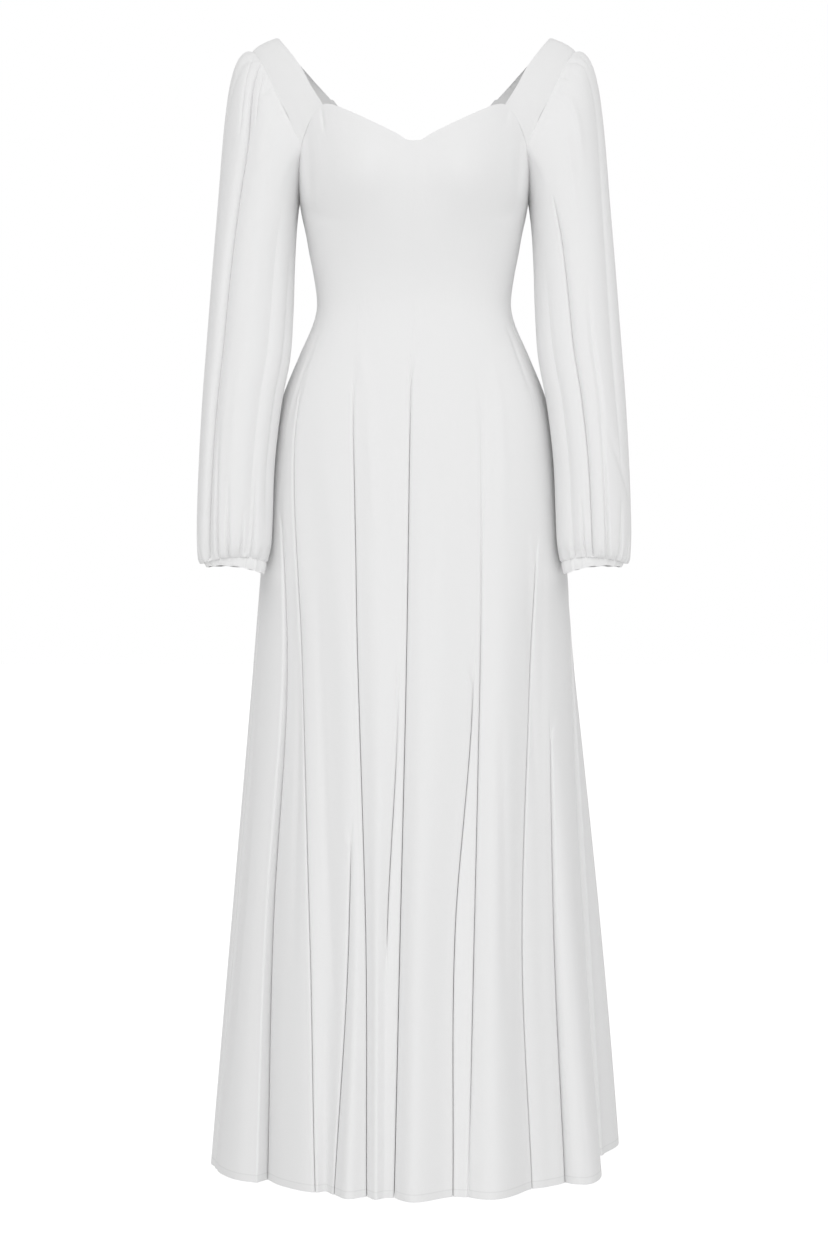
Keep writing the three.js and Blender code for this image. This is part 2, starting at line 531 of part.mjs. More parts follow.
// A point of a plain tube of rings: place counts the rows of its table, angle goes round it.
function ringPoint(rings, place, angle) {
  const numbered = rings.map((ring, i) => ({ ...ring, i }));
  const at = (column) => alongTable(numbered, "i", column, place);
  const outside = new THREE.Vector3(at("outX"), at("midY"), -at("outDown"));
  const inside = new THREE.Vector3(at("inX"), at("midY"), -at("inDown"));
  const middle = outside.clone().add(inside).multiplyScalar(0.5);
  const half = outside.sub(inside).multiplyScalar(0.5);
  const bodyward = new THREE.Vector3(-half.z, 0, half.x).normalize();
  const sine = Math.sin(radians(angle));
  const point = middle.clone().addScaledVector(half, Math.cos(radians(angle)));
  point.y -= at("halfDepth") * sine;
  point.addScaledVector(bodyward, at("saddle") * sine * sine);
  return { point, middle };
}

const angleOff = (angle, from) => THREE.MathUtils.euclideanModulo(angle - from + 180, 360) - 180;

// How far the sleeve's cloth stands out of its plain tube, at a share of its length.
function sleeveOffset(folds, share, angle) {
  let out = 0;
  for (const fold of folds) {
    const path = fold.angles.map((step, i) => ({ place: i / (fold.angles.length - 1), step }));
    const off = angleOff(angle, alongTable(path, "place", "step", share));
    const opened = ease(clamp((share - fold.opens) / 0.25, 0, 1));
    const closing = ease(clamp((fold.closes - share) / SLEEVE_FOLD_END, 0, 1));
    const across = off / (off < 0 ? fold.left : fold.right);
    out -= fold.depth * opened * closing * Math.exp(0.3 - Math.hypot(across, 0.3));
  }
  const wave = Math.cos(radians(angle * GATHERS));
  const overShoulder = Math.exp(-((angleOff(angle, 0) / CAP_GATHER.spread) ** 2));
  const cap = CAP_GATHER.depth * clamp(1 - share / CAP_GATHER.fades, 0, 1) * overShoulder;
  const sewn = clamp((share - WRIST_GATHER.sewn) / (1 - WRIST_GATHER.sewn), 0, 1);
  const nearWrist = clamp(1 - (1 - share) / WRIST_GATHER.fades, 0, 1);
  const wrist = lerp(WRIST_GATHER.depth, CUFF_PUCKER, sewn) * nearWrist;
  return out + wave * (cap * Math.min(share / 0.02, 1) + wrist);
}

const sleeveFaces = (side) => {
  const last = SLEEVE_RINGS.length - 1;
  const start = (angle) => armholeLoop.getPointAt(THREE.MathUtils.euclideanModulo(angle, 360) / 360);
  return (angle, share) => {
    const place = share * last;
    const { point, middle } = ringPoint(SLEEVE_RINGS, place, angle);
    const out = point.clone().sub(middle).normalize();
    const pull = start(angle).addScaledVector(armholeOut, STRAP_GAP);
    pull.sub(ringPoint(SLEEVE_RINGS, 0, angle).point);
    point.addScaledVector(pull, 1 - ease(clamp(place / 5, 0, 1)));
    return point.addScaledVector(out, sleeveOffset(SLEEVE_FOLDS[side], share, angle));
  };
};

function cuffPoint(angle, share) {
  const { point, middle } = ringPoint(CUFF_RINGS, share * (CUFF_RINGS.length - 1), angle);
  const out = point.clone().sub(middle).normalize();
  return point.addScaledVector(out, CUFF_PUCKER * Math.cos(radians(angle * GATHERS)));
}

// A tube's wall round a surface of angle and share. startOut gives the outward directions of its first row.
function tubeSolid(surface, columns, shares, startOut) {
  const angles = Array.from({ length: columns }, (_, c) => (360 * c) / columns);
  const outer = shares.map((share) => angles.map((angle) => surface(angle, share)));
  const outAt = (r, c) => (r === 0 && startOut ? startOut(angles[c]) : null);
  return wallGeometry(outer, innerFace(outer, true, -1, outAt), true);
}

// The direction out of the armhole's edge, square to it and to the way that the sleeve leaves.
function armholeOutward(angle) {
  const share = THREE.MathUtils.euclideanModulo(angle, 360) / 360;
  return armholeLoop.getTangentAt(share).cross(armholeOut).normalize();
}

// Shares of a length, closer together towards its two ends.
const endsCloser = (count) => Array.from({ length: count + 1 }, (_, i) =>
  lerp(0.5 - 0.5 * Math.cos((Math.PI * i) / count), i / count, 0.45));
const sleeveSolid = (side) =>
  tubeSolid(sleeveFaces(side), SLEEVE_COLUMNS, endsCloser(SLEEVE_ROWS), armholeOutward);
const cuffSolid = () => tubeSolid(cuffPoint, SLEEVE_COLUMNS,
  Array.from({ length: CUFF_ROWS + 1 }, (_, i) => i / CUFF_ROWS), null);

// The same solid on the wearer's right.
function mirrored(geometry) {
  const copy = geometry.clone().scale(-1, 1, 1);
  reverseFaces(copy);
  copy.computeVertexNormals();
  return copy;
}

// ---- The zip ----
const wasm = await Module();
wasm.setup();

function toSolid(geometry) {
  const bare = new THREE.BufferGeometry().setAttribute("position", geometry.getAttribute("position"));
  if (geometry.index) bare.setIndex(geometry.index);
  const merged = mergeVertices(bare, 1e-4);
  return new wasm.Manifold(new wasm.Mesh({
    numProp: 3,
    vertProperties: new Float32Array(merged.attributes.position.array),
    triVerts: new Uint32Array(merged.index.array),
  }));
}

function fromSolid(solid) {
  const mesh = solid.getMesh();
  const geometry = new THREE.BufferGeometry();
  geometry.setAttribute("position", new THREE.BufferAttribute(mesh.vertProperties, 3));
  geometry.setIndex(new THREE.BufferAttribute(mesh.triVerts, 1));
  geometry.computeVertexNormals();
  return geometry;
}

// The centre back seam, row by row of the panels, and how far back it stands at a level between two rows.
const backTrack = FOLD_LINES.findIndex((line) => line.seam === "centre_back");
const backSeam = panelRows().map((row) => bodyPoint(backTrack, row));

function backFaceAt(down) {
  const i = backSeam.findIndex((point) => -point.z >= down);
  const above = backSeam[i - 1];
  const below = backSeam[i];
  return lerp(above.y, below.y, (down + above.z) / (above.z - below.z));
}

// The tape behind that seam. It bends where the panels do.
function zipTape() {
  const between = backSeam.map((point) => -point.z).filter((down) => down > ZIP.top && down < ZIP.bottom);
  const levels = [ZIP.top, ...between, ZIP.bottom];
  const face = (behind) => levels.map((down) => [-0.5, 0, 0.5].map((side) => {
    const y = backFaceAt(down) - WALL - ZIP.gap - behind - Math.abs(side) * 2 * ZIP.bend;
    return new THREE.Vector3(side * ZIP.tapeWidth, y, -down);
  }));
  return wallGeometry(face(0), face(ZIP.tape), false);
}

const pinOut = backFaceAt(SLIDER.down) + SEAM_GAP + SLIDER.base + PIN.standoff;
const pinPlace = new THREE.Vector3(0, pinOut, -SLIDER.down);

const placed = (geometry, at) => geometry.toNonIndexed().translate(at.x, at.y, at.z);
const box = (x, y, z, at) => placed(new THREE.BoxGeometry(x, y, z), at);
const rodAlongX = (radius, length, at) =>
  placed(new THREE.CylinderGeometry(radius, radius, length, 16).rotateZ(Math.PI / 2), at);

// The slider: a plate on the seam, two ears and the pin between them.
function zipSlider() {
  const plateY = pinPlace.y - PIN.standoff - SLIDER.base / 2;
  const plate = box(SLIDER.width, SLIDER.base, SLIDER.height,
    new THREE.Vector3(0, plateY, pinPlace.z - SLIDER.height / 4));
  let solid = toSolid(plate);
  const earReach = PIN.standoff + PIN.radius + 0.6;
  for (const side of [-1, 1]) {
    const x = (side * (SLIDER.width - SLIDER.earThick)) / 2;
    const at = new THREE.Vector3(x, plateY + earReach / 2 + 0.4, pinPlace.z);
    solid = solid.add(toSolid(box(SLIDER.earThick, earReach + 0.4, 2.6, at)));
  }
  const pin = rodAlongX(PIN.radius, SLIDER.width - SLIDER.earThick, pinPlace);
  return fromSolid(solid.add(toSolid(pin)));
}

// The pull tab: an eye round the pin and a plate that widens to a rounded tip.
function zipTab() {
  const outline = new THREE.Shape();
  const neck = TAB.width / 2;
  const tip = TAB.tipWidth / 2;
  outline.moveTo(-neck, 0);
  outline.lineTo(-tip, -(TAB.length - tip));
  outline.absarc(0, -(TAB.length - tip), tip, Math.PI, 2 * Math.PI, false);
  outline.lineTo(neck, 0);
  outline.closePath();
  const shape = { depth: TAB.thick, bevelEnabled: false, curveSegments: 10 };
  const plate = new THREE.ExtrudeGeometry(outline, shape);
  plate.rotateX(Math.PI / 2).translate(pinPlace.x, pinPlace.y + TAB.thick / 2, pinPlace.z);
  const eye = toSolid(rodAlongX(TAB.eye, TAB.width, pinPlace));
  const bore = toSolid(rodAlongX(TAB.bore, TAB.width + 2, pinPlace));
  return fromSolid(toSolid(plate).add(eye).subtract(bore));
}

// ---- The gown ----
const cloth = { color: 0xf1f0ee, roughness: 0.75, metalness: 0 };
const crepe = (name) => new THREE.MeshStandardMaterial({ name, ...cloth });
const enamel = { color: 0xdedcd8, roughness: 0.35, metalness: 0.6 };
const metal = (name) => new THREE.MeshStandardMaterial({ name, ...enamel });

const gown = new THREE.Group();
const add = (name, geometry, material) => {
  const mesh = new THREE.Mesh(geometry, material);
  mesh.name = name;
  gown.add(mesh);
};

const seamIndexes = FOLD_LINES.flatMap((line, i) => (line.seam ? [i] : []));
PANELS.forEach((name, i) => {
  const last = i + 1 < seamIndexes.length ? seamIndexes[i + 1] : FOLD_LINES.length;
  add(name, bodyPanel(seamIndexes[i], last), crepe(name));
});
add("strap_left", strapSolid(), crepe("strap_left"));
add("strap_right", mirrored(strapSolid()), crepe("strap_right"));
add("sleeve_left", sleeveSolid("left"), crepe("sleeve_left"));
add("sleeve_right", mirrored(sleeveSolid("right")), crepe("sleeve_right"));
add("cuff_left", cuffSolid(), crepe("cuff_left"));
add("cuff_right", mirrored(cuffSolid()), crepe("cuff_right"));
add("zip_tape", zipTape(), crepe("zip_tape"));
add("zip_slider", zipSlider(), metal("zip_slider"));
add("zip_pull", zipTab(), metal("zip_pull"));

export default gown;
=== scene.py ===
"""The looks of a floor-length gown with a sweetheart neckline and full gathered sleeves.

Every cloth piece is a thin shell on the form of its solid, cut finer, with its crisp fold lines, gathers and
soft creases. Sizes in the tables are millimetres and degrees, and the meshes are in metres. Down is counted
from the strap tops, and angle 0 is the gown's front and 90 the wearer's left.
"""

import logging
import math
from dataclasses import dataclass
from enum import Enum
from typing import Sequence

import bmesh
import bpy
import numpy as np
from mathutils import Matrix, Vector


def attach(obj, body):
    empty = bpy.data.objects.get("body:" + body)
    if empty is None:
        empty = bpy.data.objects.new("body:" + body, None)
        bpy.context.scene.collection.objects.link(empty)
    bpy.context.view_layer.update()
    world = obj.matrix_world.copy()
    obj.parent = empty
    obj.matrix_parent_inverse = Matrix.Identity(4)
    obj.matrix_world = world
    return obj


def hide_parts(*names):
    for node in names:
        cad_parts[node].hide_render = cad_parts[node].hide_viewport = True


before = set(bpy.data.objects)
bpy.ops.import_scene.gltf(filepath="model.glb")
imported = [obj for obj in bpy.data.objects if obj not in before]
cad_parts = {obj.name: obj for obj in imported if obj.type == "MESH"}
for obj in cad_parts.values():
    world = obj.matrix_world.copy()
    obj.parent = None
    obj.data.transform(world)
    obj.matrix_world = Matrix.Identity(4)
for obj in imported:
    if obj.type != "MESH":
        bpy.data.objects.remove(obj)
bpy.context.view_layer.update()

log = logging.getLogger("gown")

MM = 0.001
GOWN_LENGTH = 1436.0
YOKE_DEPTH = 260.0
CHEST_LEVEL = 100.0
HEM_BAND = 9.0
BODY = "gown"
WHITE = (1.0, 1.0, 1.0, 1.0)


class Side(Enum):
    """The wearer's left or right, as the sign of X."""

    LEFT = 1
    RIGHT = -1

    @property
    def word(self) -> str:
        """The side's name as the pieces use it."""
        return self.name.lower()


class Face(Enum):
    """The finish of a piece of cloth. The cuff's is the plain crepe with deeper slubs, in a lighter colour that is
    painted light.
    """

    PLAIN = "crepe"
    HEMMED = "crepe_hemmed"
    CUFF = "crepe_cuff"


# ---- Tables and curves ----
class Table:
    """Rows of numbers under named columns, read along a smooth curve through them."""

    def __init__(self, columns: str, rows: Sequence[Sequence[float]]) -> None:
        """Keeps the rows; the first column is what they are read along.

        Args:
            columns: The names of the columns, parted by spaces.
            rows: The numbers, a tuple for each row.
        """
        values = np.array(rows, float)
        self.places = values[:, 0]
        self.columns = {name: values[:, i] for i, name in enumerate(columns.split())}

    def at(self, column: str, place: np.ndarray | float) -> np.ndarray:
        """The column's value at places along the table.

        Args:
            column: The column's name.
            place: Where along the first column.

        Returns:
            The values, in the shape of place.
        """
        return smooth_through(self.places, self.columns[column], place)


def smooth_through(places: np.ndarray, values: np.ndarray, place: np.ndarray | float) -> np.ndarray:
    """A smooth curve through given values.

    Args:
        places: Where the values are given, in rising order.
        values: The values there.
        place: Where the curve is read.

    Returns:
        The curve's values, in the shape of place.
    """
    place = np.asarray(place, float)
    last = len(places) - 1
    i = np.clip(np.searchsorted(places[1:], place, side="left"), 0, last - 1)
    before, after = np.maximum(np.arange(last + 1) - 1, 0), np.minimum(np.arange(last + 1) + 1, last)
    slope = (values[after] - values[before]) / (places[after] - places[before])
    span = places[i + 1] - places[i]
    s = np.clip((place - places[i]) / span, 0, 1)
    rise = s * s * (3 - 2 * s)
    bend = span * s * (1 - s) * ((1 - s) * slope[i] - s * slope[i + 1])
    return values[i] * (1 - rise) + values[i + 1] * rise + bend


def ease(share: np.ndarray | float) -> np.ndarray:
    """A share from 0 to 1, eased at both ends."""
    share = np.clip(share, 0, 1)
    return share * share * (3 - 2 * share)


def turn_off(angle: np.ndarray | float, middle: np.ndarray | float) -> np.ndarray:
    """How far an angle is from another, from -180 to 180 degrees."""
    return np.mod(np.asarray(angle) - middle + 180, 360) - 180


def bump(off: np.ndarray, width: np.ndarray | float) -> np.ndarray:
    """A soft rise of height 1 round 0, that is gone at about twice the width."""
    return np.exp(-((off / width) ** 2))


class Curve:
    """A smooth line through points, read by share of its length."""

    STEPS = 60
    LEAST_STEP = 1e-4

    def __init__(self, points: Sequence[np.ndarray], closed: bool = False) -> None:
        """Works the line out once, as short straight steps.

        Args:
            points: The points it passes through.
            closed: Whether it returns to the first.
        """
        given = np.array(points, float)
        if closed:
            around = np.vstack([given[-1], given, given[:2]])
        else:
            around = np.vstack([2 * given[0] - given[1], given, 2 * given[-1] - given[-2]])
        w = np.linspace(0, 1, self.STEPS, endpoint=False)[:, None]
        parts = []
        for p0, p1, p2, p3 in zip(around, around[1:], around[2:], around[3:]):
            pairs = ((p0, p1), (p1, p2), (p2, p3))
            d0, d1, d2 = (max(np.linalg.norm(b - a) ** 0.5, self.LEAST_STEP) for a, b in pairs)
            t1 = ((p1 - p0) / d0 - (p2 - p0) / (d0 + d1) + (p2 - p1) / d1) * d1
            t2 = ((p2 - p1) / d1 - (p3 - p1) / (d1 + d2) + (p3 - p2) / d2) * d1
            squared = 3 * p2 - 3 * p1 - 2 * t1 - t2
            cubed = 2 * p1 - 2 * p2 + t1 + t2
            parts.append(p1 + t1 * w + squared * w**2 + cubed * w**3)
        parts.append(around[-2][None, :])
        self.points = np.vstack(parts)
        run = np.linalg.norm(np.diff(self.points, axis=0), axis=1)
        self.share = np.concatenate([[0], np.cumsum(run)]) / run.sum()

    def at(self, share: np.ndarray | float) -> np.ndarray:
        """Points of the line.

        Args:
            share: Shares of its length, from 0 to 1.

        Returns:
            The points, with a last axis of three.
        """
        return np.stack([np.interp(share, self.share, self.points[:, i]) for i in range(3)], axis=-1)


def towards(a: np.ndarray, b: np.ndarray, share: np.ndarray | float) -> np.ndarray:
    """The point or value a share of the way from a to b."""
    return a + (b - a) * share


# ---- The gown's body ----
@dataclass(frozen=True)
class FoldLine:
    """A valley down the skirt, with its angles at six levels and its form, as the solids have it.

    left and right are its sides' widths, crest the swell of the cloth between it and the next line, and peak
    where that swell is highest. crease is the depth of the sharp line at its bottom, closes the level where
    it has died away, and a name parts panels.
    """

    name: str
    angles: tuple[float, float, float, float, float, float]
    opens: float
    knee_depth: float
    hem_depth: float
    left: float
    right: float
    crest: float
    peak: float
    crease: float
    closes: float = math.inf


@dataclass(frozen=True)
class Crease:
    """A soft trough in the body's cloth, or a ridge where depth is below 0, between two levels."""

    top: float
    foot: float
    top_angle: float
    foot_angle: float
    depth: float
    width: float


KNEE = 1120.0
LEVELS = np.array([CHEST_LEVEL, 342, 480, 780, KNEE, GOWN_LENGTH])
HEM_ROWS = (1424, 1426.4, 1427.2, 1430, 1433, GOWN_LENGTH)
FOLD_LINES = (
    FoldLine("centre_front", (0, -0.5, -1.4, -2.5, -4.1, -5.3), 400, 24, 42, 2, 2, 20, 0.3, 2.2),
    FoldLine("", (22, 17, 15, 21, 12.5, 10.5), 790, 28, 52, 2.5, 1.8, 0, 0.5, 1.6),
    FoldLine("princess_front_left", (46, 34, 28, 23.7, 18.5, 14.6), 430, 9, 2, 2.5, 2.5, 20, 0.36, 0.5),
    FoldLine("", (60, 60, 60, 46.4, 35.7, 35.3), 640, 34, 72, 3, 2, -8, 0.5, 1.8),
    FoldLine("", (76, 72, 68, 57, 50.1, 49.3), 860, 22, 50, 2, 1.3, 24, 0.12, 1.4),
    FoldLine("side_left", (90, 90, 90, 90, 94, 98), 700, 28, 60, 24, 5, 52, 0.5, 0.6),
    FoldLine("", (112, 114, 116, 122, 129, 136), 700, 20, 44, 4, 3, 4, 0.5, 1.4),
    FoldLine("princess_back_left", (133, 146, 150, 151, 152, 153), 470, 22, 40, 2.5, 3, 6, 0.4, 2),
    FoldLine("", (157, 163, 165, 167, 168, 167), 860, 12, 32, 3, 2, 2, 0.5, 1.4),
    FoldLine("centre_back", (180, 180, 180, 180, 180.5, 181), 520, 22, 42, 2.4, 2.4, 10, 0.6, 1.8),
    FoldLine("", (203, 197, 195, 194, 195, 200), 800, 14, 36, 2, 3, 0, 0.5, 1.4),
    FoldLine("princess_back_right", (227, 214, 210, 209, 211, 215), 470, 22, 42, 3, 2.4, 8, 0.6, 2),
    FoldLine("", (242, 238, 236, 233, 234, 237), 840, 14, 36, 3, 2.4, 2, 0.5, 1.4),
    FoldLine("", (257, 256, 254, 252, 253, 255), 640, 20, 38, 3, 3, 4, 0.4, 1.4),
    FoldLine("side_right", (270, 270, 270, 269, 268, 269), 760, 5, 8, 3, 2, 2, 0.5, 0.8),
    FoldLine("", (279, 279, 280, 281, 281, 280), 700, 6, 8, 1.6, 3, 0, 0.5, 1.2),
    FoldLine("", (289, 288, 292, 306.6, 306.1, 309.5), 600, 34, 60, 2.6, 8, -6, 0.6, 1.8),
    FoldLine("", (300, 300, 303, 315.6, 326, 331.8), 440, 18, 36, 2.4, 2, -14, 0.5, 1.6),
    FoldLine("", (308, 316, 322, 337, 340, 337.8), 990, 12, 34, 2, 1.8, 14, 0.45, 1.4),
    FoldLine("princess_front_right", (314, 327, 335, 340, 345.3, 347.2), 430, 20, 38, 2, 1.6, 12, 0.5, 2.2),
    FoldLine("", (338, 343, 347, 354.6, 352, 352.2), 790, 14, 8, 1.6, 2.4, 0, 0.5, 0.6, 1180),
)
PANELS = (
    "front_centre_left",
    "front_side_left",
    "back_side_left",
    "back_centre_left",
    "back_centre_right",
    "back_side_right",
    "front_side_right",
    "front_centre_right",
)

SECTIONS = Table(
    "down half_width front back corner",
    (
        (60, 146, 100, 97, 0.14),
        (100, 147, 106, 100, 0.14),
        (145, 146, 112, 103, 0.13),
        (190, 144.5, 115, 103, 0.12),
        (230, 141, 109, 100, 0.11),
        (270, 135, 99, 93, 0.1),
        (309, 127.5, 89.5, 85, 0.08),
        (342, 124, 86, 82, 0.07),
        (366, 129, 88, 86, 0.06),
        (405, 146, 95, 98, 0.05),
        (462, 169, 107, 117, 0.04),
        (514, 180.5, 118, 130, 0.03),
        (590, 189, 132, 143, 0.02),
        (684, 196, 146, 157, 0.01),
        (847, 209, 173, 183, 0),
        (1039, 225, 202, 210, 0),
        (1231, 241, 226, 232, 0),
        (GOWN_LENGTH, 258, 247, 252, 0),
    ),
)
TOP_EDGE = Table(
    "angle x y down",
    (
        (0, 0, -112, 149.4),
        (4, 9.2, -111.8, 148.0),
        (10, 23, -111, 139.5),
        (25, 59, -105, 121),
        (36, 87, -95, 107),
        (42, 103, -87, 100),
        (46, 114, -80, 99),
        (52, 125, -74, 109),
        (60, 135, -67, 127),
        (68, 142, -58, 148),
        (75, 145, -46, 170),
        (82, 146, -27, 195),
        (90, 146, 0, 211),
        (98, 146, 29, 196),
        (106, 145, 49, 166),
        (113, 141, 61, 136),
        (120, 132, 70, 108),
        (127, 120, 78, 82),
        (133, 109, 84, 63),
        (138, 100, 88, 70),
        (149, 74, 95, 96),
        (161, 44, 100, 124),
        (172, 18, 102, 148),
        (180, 0, 102.5, 160),
    ),
)
BODY_CREASES = (
    Crease(102, 134, 313.0, 314.5, 1.6, 1.0),
    Crease(102, 122, 47.5, 47.0, 0.8, 1.6),
    Crease(112, 236, 301.5, 297.5, 2.0, 5.6),
    Crease(116, 230, 59.0, 62.0, 1.8, 5.6),
    Crease(216, 250, 290.0, 313.0, 2.2, 13.0),
    Crease(214, 247, 69.0, 49.0, 2.0, 12.0),
    Crease(352, 402, 0.5, -1.0, 0.9, 1.5),
    Crease(395, 470, 333.0, 341.0, -1.6, 2.4),
    Crease(455, 640, 341.0, 346.0, -2.0, 2.0),
    Crease(420, 640, 38.5, 34.5, -2.2, 2.4),
    Crease(500, 590, 4.0, 4.2, -0.9, 1.2),
    Crease(372, 460, 62.0, 60.0, 1.6, 2.4),
    Crease(380, 520, 298.0, 300.0, 1.4, 2.2),
    Crease(360, 392, 74.0, 71.0, 1.3, 2.0),
    Crease(364, 390, 79.0, 77.0, 1.1, 1.8),
    Crease(560, 900, 8.0, 5.0, 1.6, 2.6),
    Crease(840, 1230, 30.5, 27.5, 3.2, 1.6),
    Crease(700, 1180, 314.0, 320.5, 2.4, 1.8),
    Crease(680, 1270, 322.0, 337.5, 2.0, 1.2),
    Crease(800, 1520, 288.5, 284.0, 3.0, 1.3),
    Crease(620, 980, 47.0, 44.0, 2.0, 2.0),
    Crease(980, 1400, 66.0, 61.0, 3.0, 1.8),
    Crease(900, 1380, 291.0, 289.0, 2.6, 2.2),
    Crease(140, 560, 180.0, 180.0, 0.8, 0.5),
    Crease(420, 620, 170.0, 172.0, -1.6, 2.2),
    Crease(440, 700, 158.0, 159.5, 1.8, 2.2),
    Crease(430, 650, 203.0, 200.0, 1.7, 2.4),
    Crease(600, 1050, 222.0, 222.5, 2.4, 2.6),
    Crease(560, 980, 142.0, 141.0, 2.2, 2.4),
    Crease(380, 470, 118.0, 121.0, 1.3, 2.2),
    Crease(376, 455, 244.0, 241.0, 1.3, 2.2),
    Crease(900, 1340, 187.0, 189.5, 2.6, 1.8),
    Crease(1020, 1410, 174.5, 173.0, 2.4, 1.6),
)


class Body:
    """The form of the gown's body, from its tables of sections, edges and fold lines."""

    CUP = {"side": 70, "down": 190, "swell": 15, "half_width": 40, "half_height": 50}
    YOKE_ROWS = 55
    SKIRT_ROWS = 140
    SKIRT_FOOT = 1420.0
    # The columns between two fold lines, the share of them that the fold takes, and the steep wall's part of it.
    COLUMNS = 32
    FOLD_SHARE = 0.2
    WALL_SHARE = 0.3
    # A valley: the power by which it opens, how round its bottom is, from which width a side is broad, and the
    # flat beside its line, in widths on a narrow side and as a share of the gap on a broad one.
    OPENING = 1.15
    VALLEY_ROUNDING = 0.25
    BROAD = 4.5
    FLAT_WIDTHS = 1.8
    FLAT_SHARE = 0.25
    # The sharp line at its bottom: how far above the valley it starts, and its way to deepen and to close.
    LINE_LEAD = 20.0
    LINE_DEEPENING = 90.0
    LINE_CLOSING = 130.0
    # The rounded lobes that meet at the line: their largest radius, also by the run and by the drop, the drop
    # from which they turn in fully, and the slot between them.
    LOBE_RADIUS = 3.6
    LOBE_RUN_SHARE = 0.36
    LOBE_DROPS = 1.4
    FULL_DROP = 3.0
    SLOT = 0.25
    SLOT_FOOT = 0.3
    CREASE_FADE = 0.8

    def section(self, angle: np.ndarray, down: np.ndarray) -> np.ndarray:
        """Points of the plain section, with no folds.

        Args:
            angle: Angles round the gown.
            down: Levels, in the shape of angle.

        Returns:
            The points, with a last axis of three.
        """
        sine, cosine = np.sin(np.radians(angle)), np.cos(np.radians(angle))
        corner = SECTIONS.at("corner", down)
        x = SECTIONS.at("half_width", down) * sine * (1 + corner * cosine**2)
        reach = np.where(cosine > 0, SECTIONS.at("front", down), SECTIONS.at("back", down))
        y = -reach * cosine * (1 + corner * sine**2)
        cup = self.CUP
        up = ((down - cup["down"]) / cup["half_height"]) ** 2
        for side in (-cup["side"], cup["side"]):
            y -= np.where(cosine > 0, cup["swell"] * np.exp(-(((x - side) / cup["half_width"]) ** 2) - up), 0)
        return np.stack([x, y, -down * np.ones_like(x)], axis=-1)

    def top_edge(self, angle: np.ndarray | float) -> np.ndarray:
        """Points of the bodice's top edge, with a last axis of three."""
        turned = turn_off(angle, 0)
        x = np.sign(turned) * TOP_EDGE.at("x", np.abs(turned))
        return np.stack([x, TOP_EDGE.at("y", np.abs(turned)), -TOP_EDGE.at("down", np.abs(turned))], axis=-1)

    def line_angles(self, down: np.ndarray) -> np.ndarray:
        """Every fold line's angle at the given levels, with the first line again a turn later."""
        rows = [smooth_through(LEVELS, np.array(line.angles, float), down) for line in FOLD_LINES]
        return np.array([*rows, rows[0] + 360])

    def track_angles(self, tracks: np.ndarray, down: np.ndarray) -> np.ndarray:
        """The angles of tracks at levels.

        Args:
            tracks: Places counted in fold lines, with fractions between two of them.
            down: The levels.

        Returns:
            An array of levels by tracks.
        """
        lines = self.line_angles(down)
        index = np.minimum(np.floor(tracks).astype(int), len(FOLD_LINES) - 1)
        return towards(lines[index].T, lines[index + 1].T, tracks - index)

    def valley_depths(self, down: np.ndarray) -> np.ndarray:
        """Every fold line's depth at the given levels, with the first line again at the end."""
        rows = []
        for line in (*FOLD_LINES, FOLD_LINES[0]):
            opened = np.clip((down - line.opens) / (KNEE - line.opens), 0, 1) ** self.OPENING * line.knee_depth
            lower = towards(line.knee_depth, line.hem_depth, (down - KNEE) / (GOWN_LENGTH - KNEE))
            rows.append(np.where(down < KNEE, opened, lower) * self.kept(line, down))
        return np.array(rows)

    def kept(self, line: FoldLine, down: np.ndarray) -> np.ndarray:
        """How much of a fold line is left at the given levels, from 1 to 0 where it closes."""
        return ease((line.closes - down) / self.LINE_CLOSING)

    def lobes(self, index: np.ndarray, angle: np.ndarray, down: np.ndarray) -> tuple[np.ndarray, np.ndarray]:
        """How far the cloth between the fold lines stands out, with the valleys themselves left open.

        Args:
            index: The fold line before each column.
            angle: The angles of rows by columns.
            down: The rows' levels.

        Returns:
            The offsets, and how deep the nearest fold line lies below them.
        """
        lines = self.line_angles(down)
        depths = self.valley_depths(down)
        count = len(FOLD_LINES)
        gap = lines[index + 1].T - lines[index].T
        share = np.clip((angle - lines[index].T) / gap, 0, 1)
        nearest = np.where(share < 0.5, index, index + 1) % count
        out = np.zeros_like(angle)
        drop = np.zeros_like(angle)
        for i, line in enumerate(FOLD_LINES):
            off = turn_off(angle, lines[i][:, None])
            beside = (index == i) | ((index + 1) % count == i)
            width = np.where(off < 0, line.left, line.right)
            flat = np.where(width < self.BROAD, self.FLAT_WIDTHS * width, self.FLAT_SHARE * gap * beside)
            across = np.hypot(off, flat) / width
            rounding = self.VALLEY_ROUNDING
            lowered = depths[i][:, None] * np.exp(rounding - np.hypot(across, rounding))
            out -= lowered
            deepened = ease((down - line.opens + self.LINE_LEAD) / self.LINE_DEEPENING)
            sharp = line.crease * (deepened * self.kept(line, down))[:, None]
            drop = np.where(nearest == i, depths[i][:, None] + sharp - lowered, drop)
            grown = np.clip((down - line.opens) / (GOWN_LENGTH - line.opens), 0, 1)[:, None]
            mine = index == i
            swell = share[:, mine] ** (math.log(0.5) / math.log(line.peak))
            out[:, mine] += line.crest * grown * np.sin(math.pi * swell) ** 2
        return out, np.maximum(drop, 0)

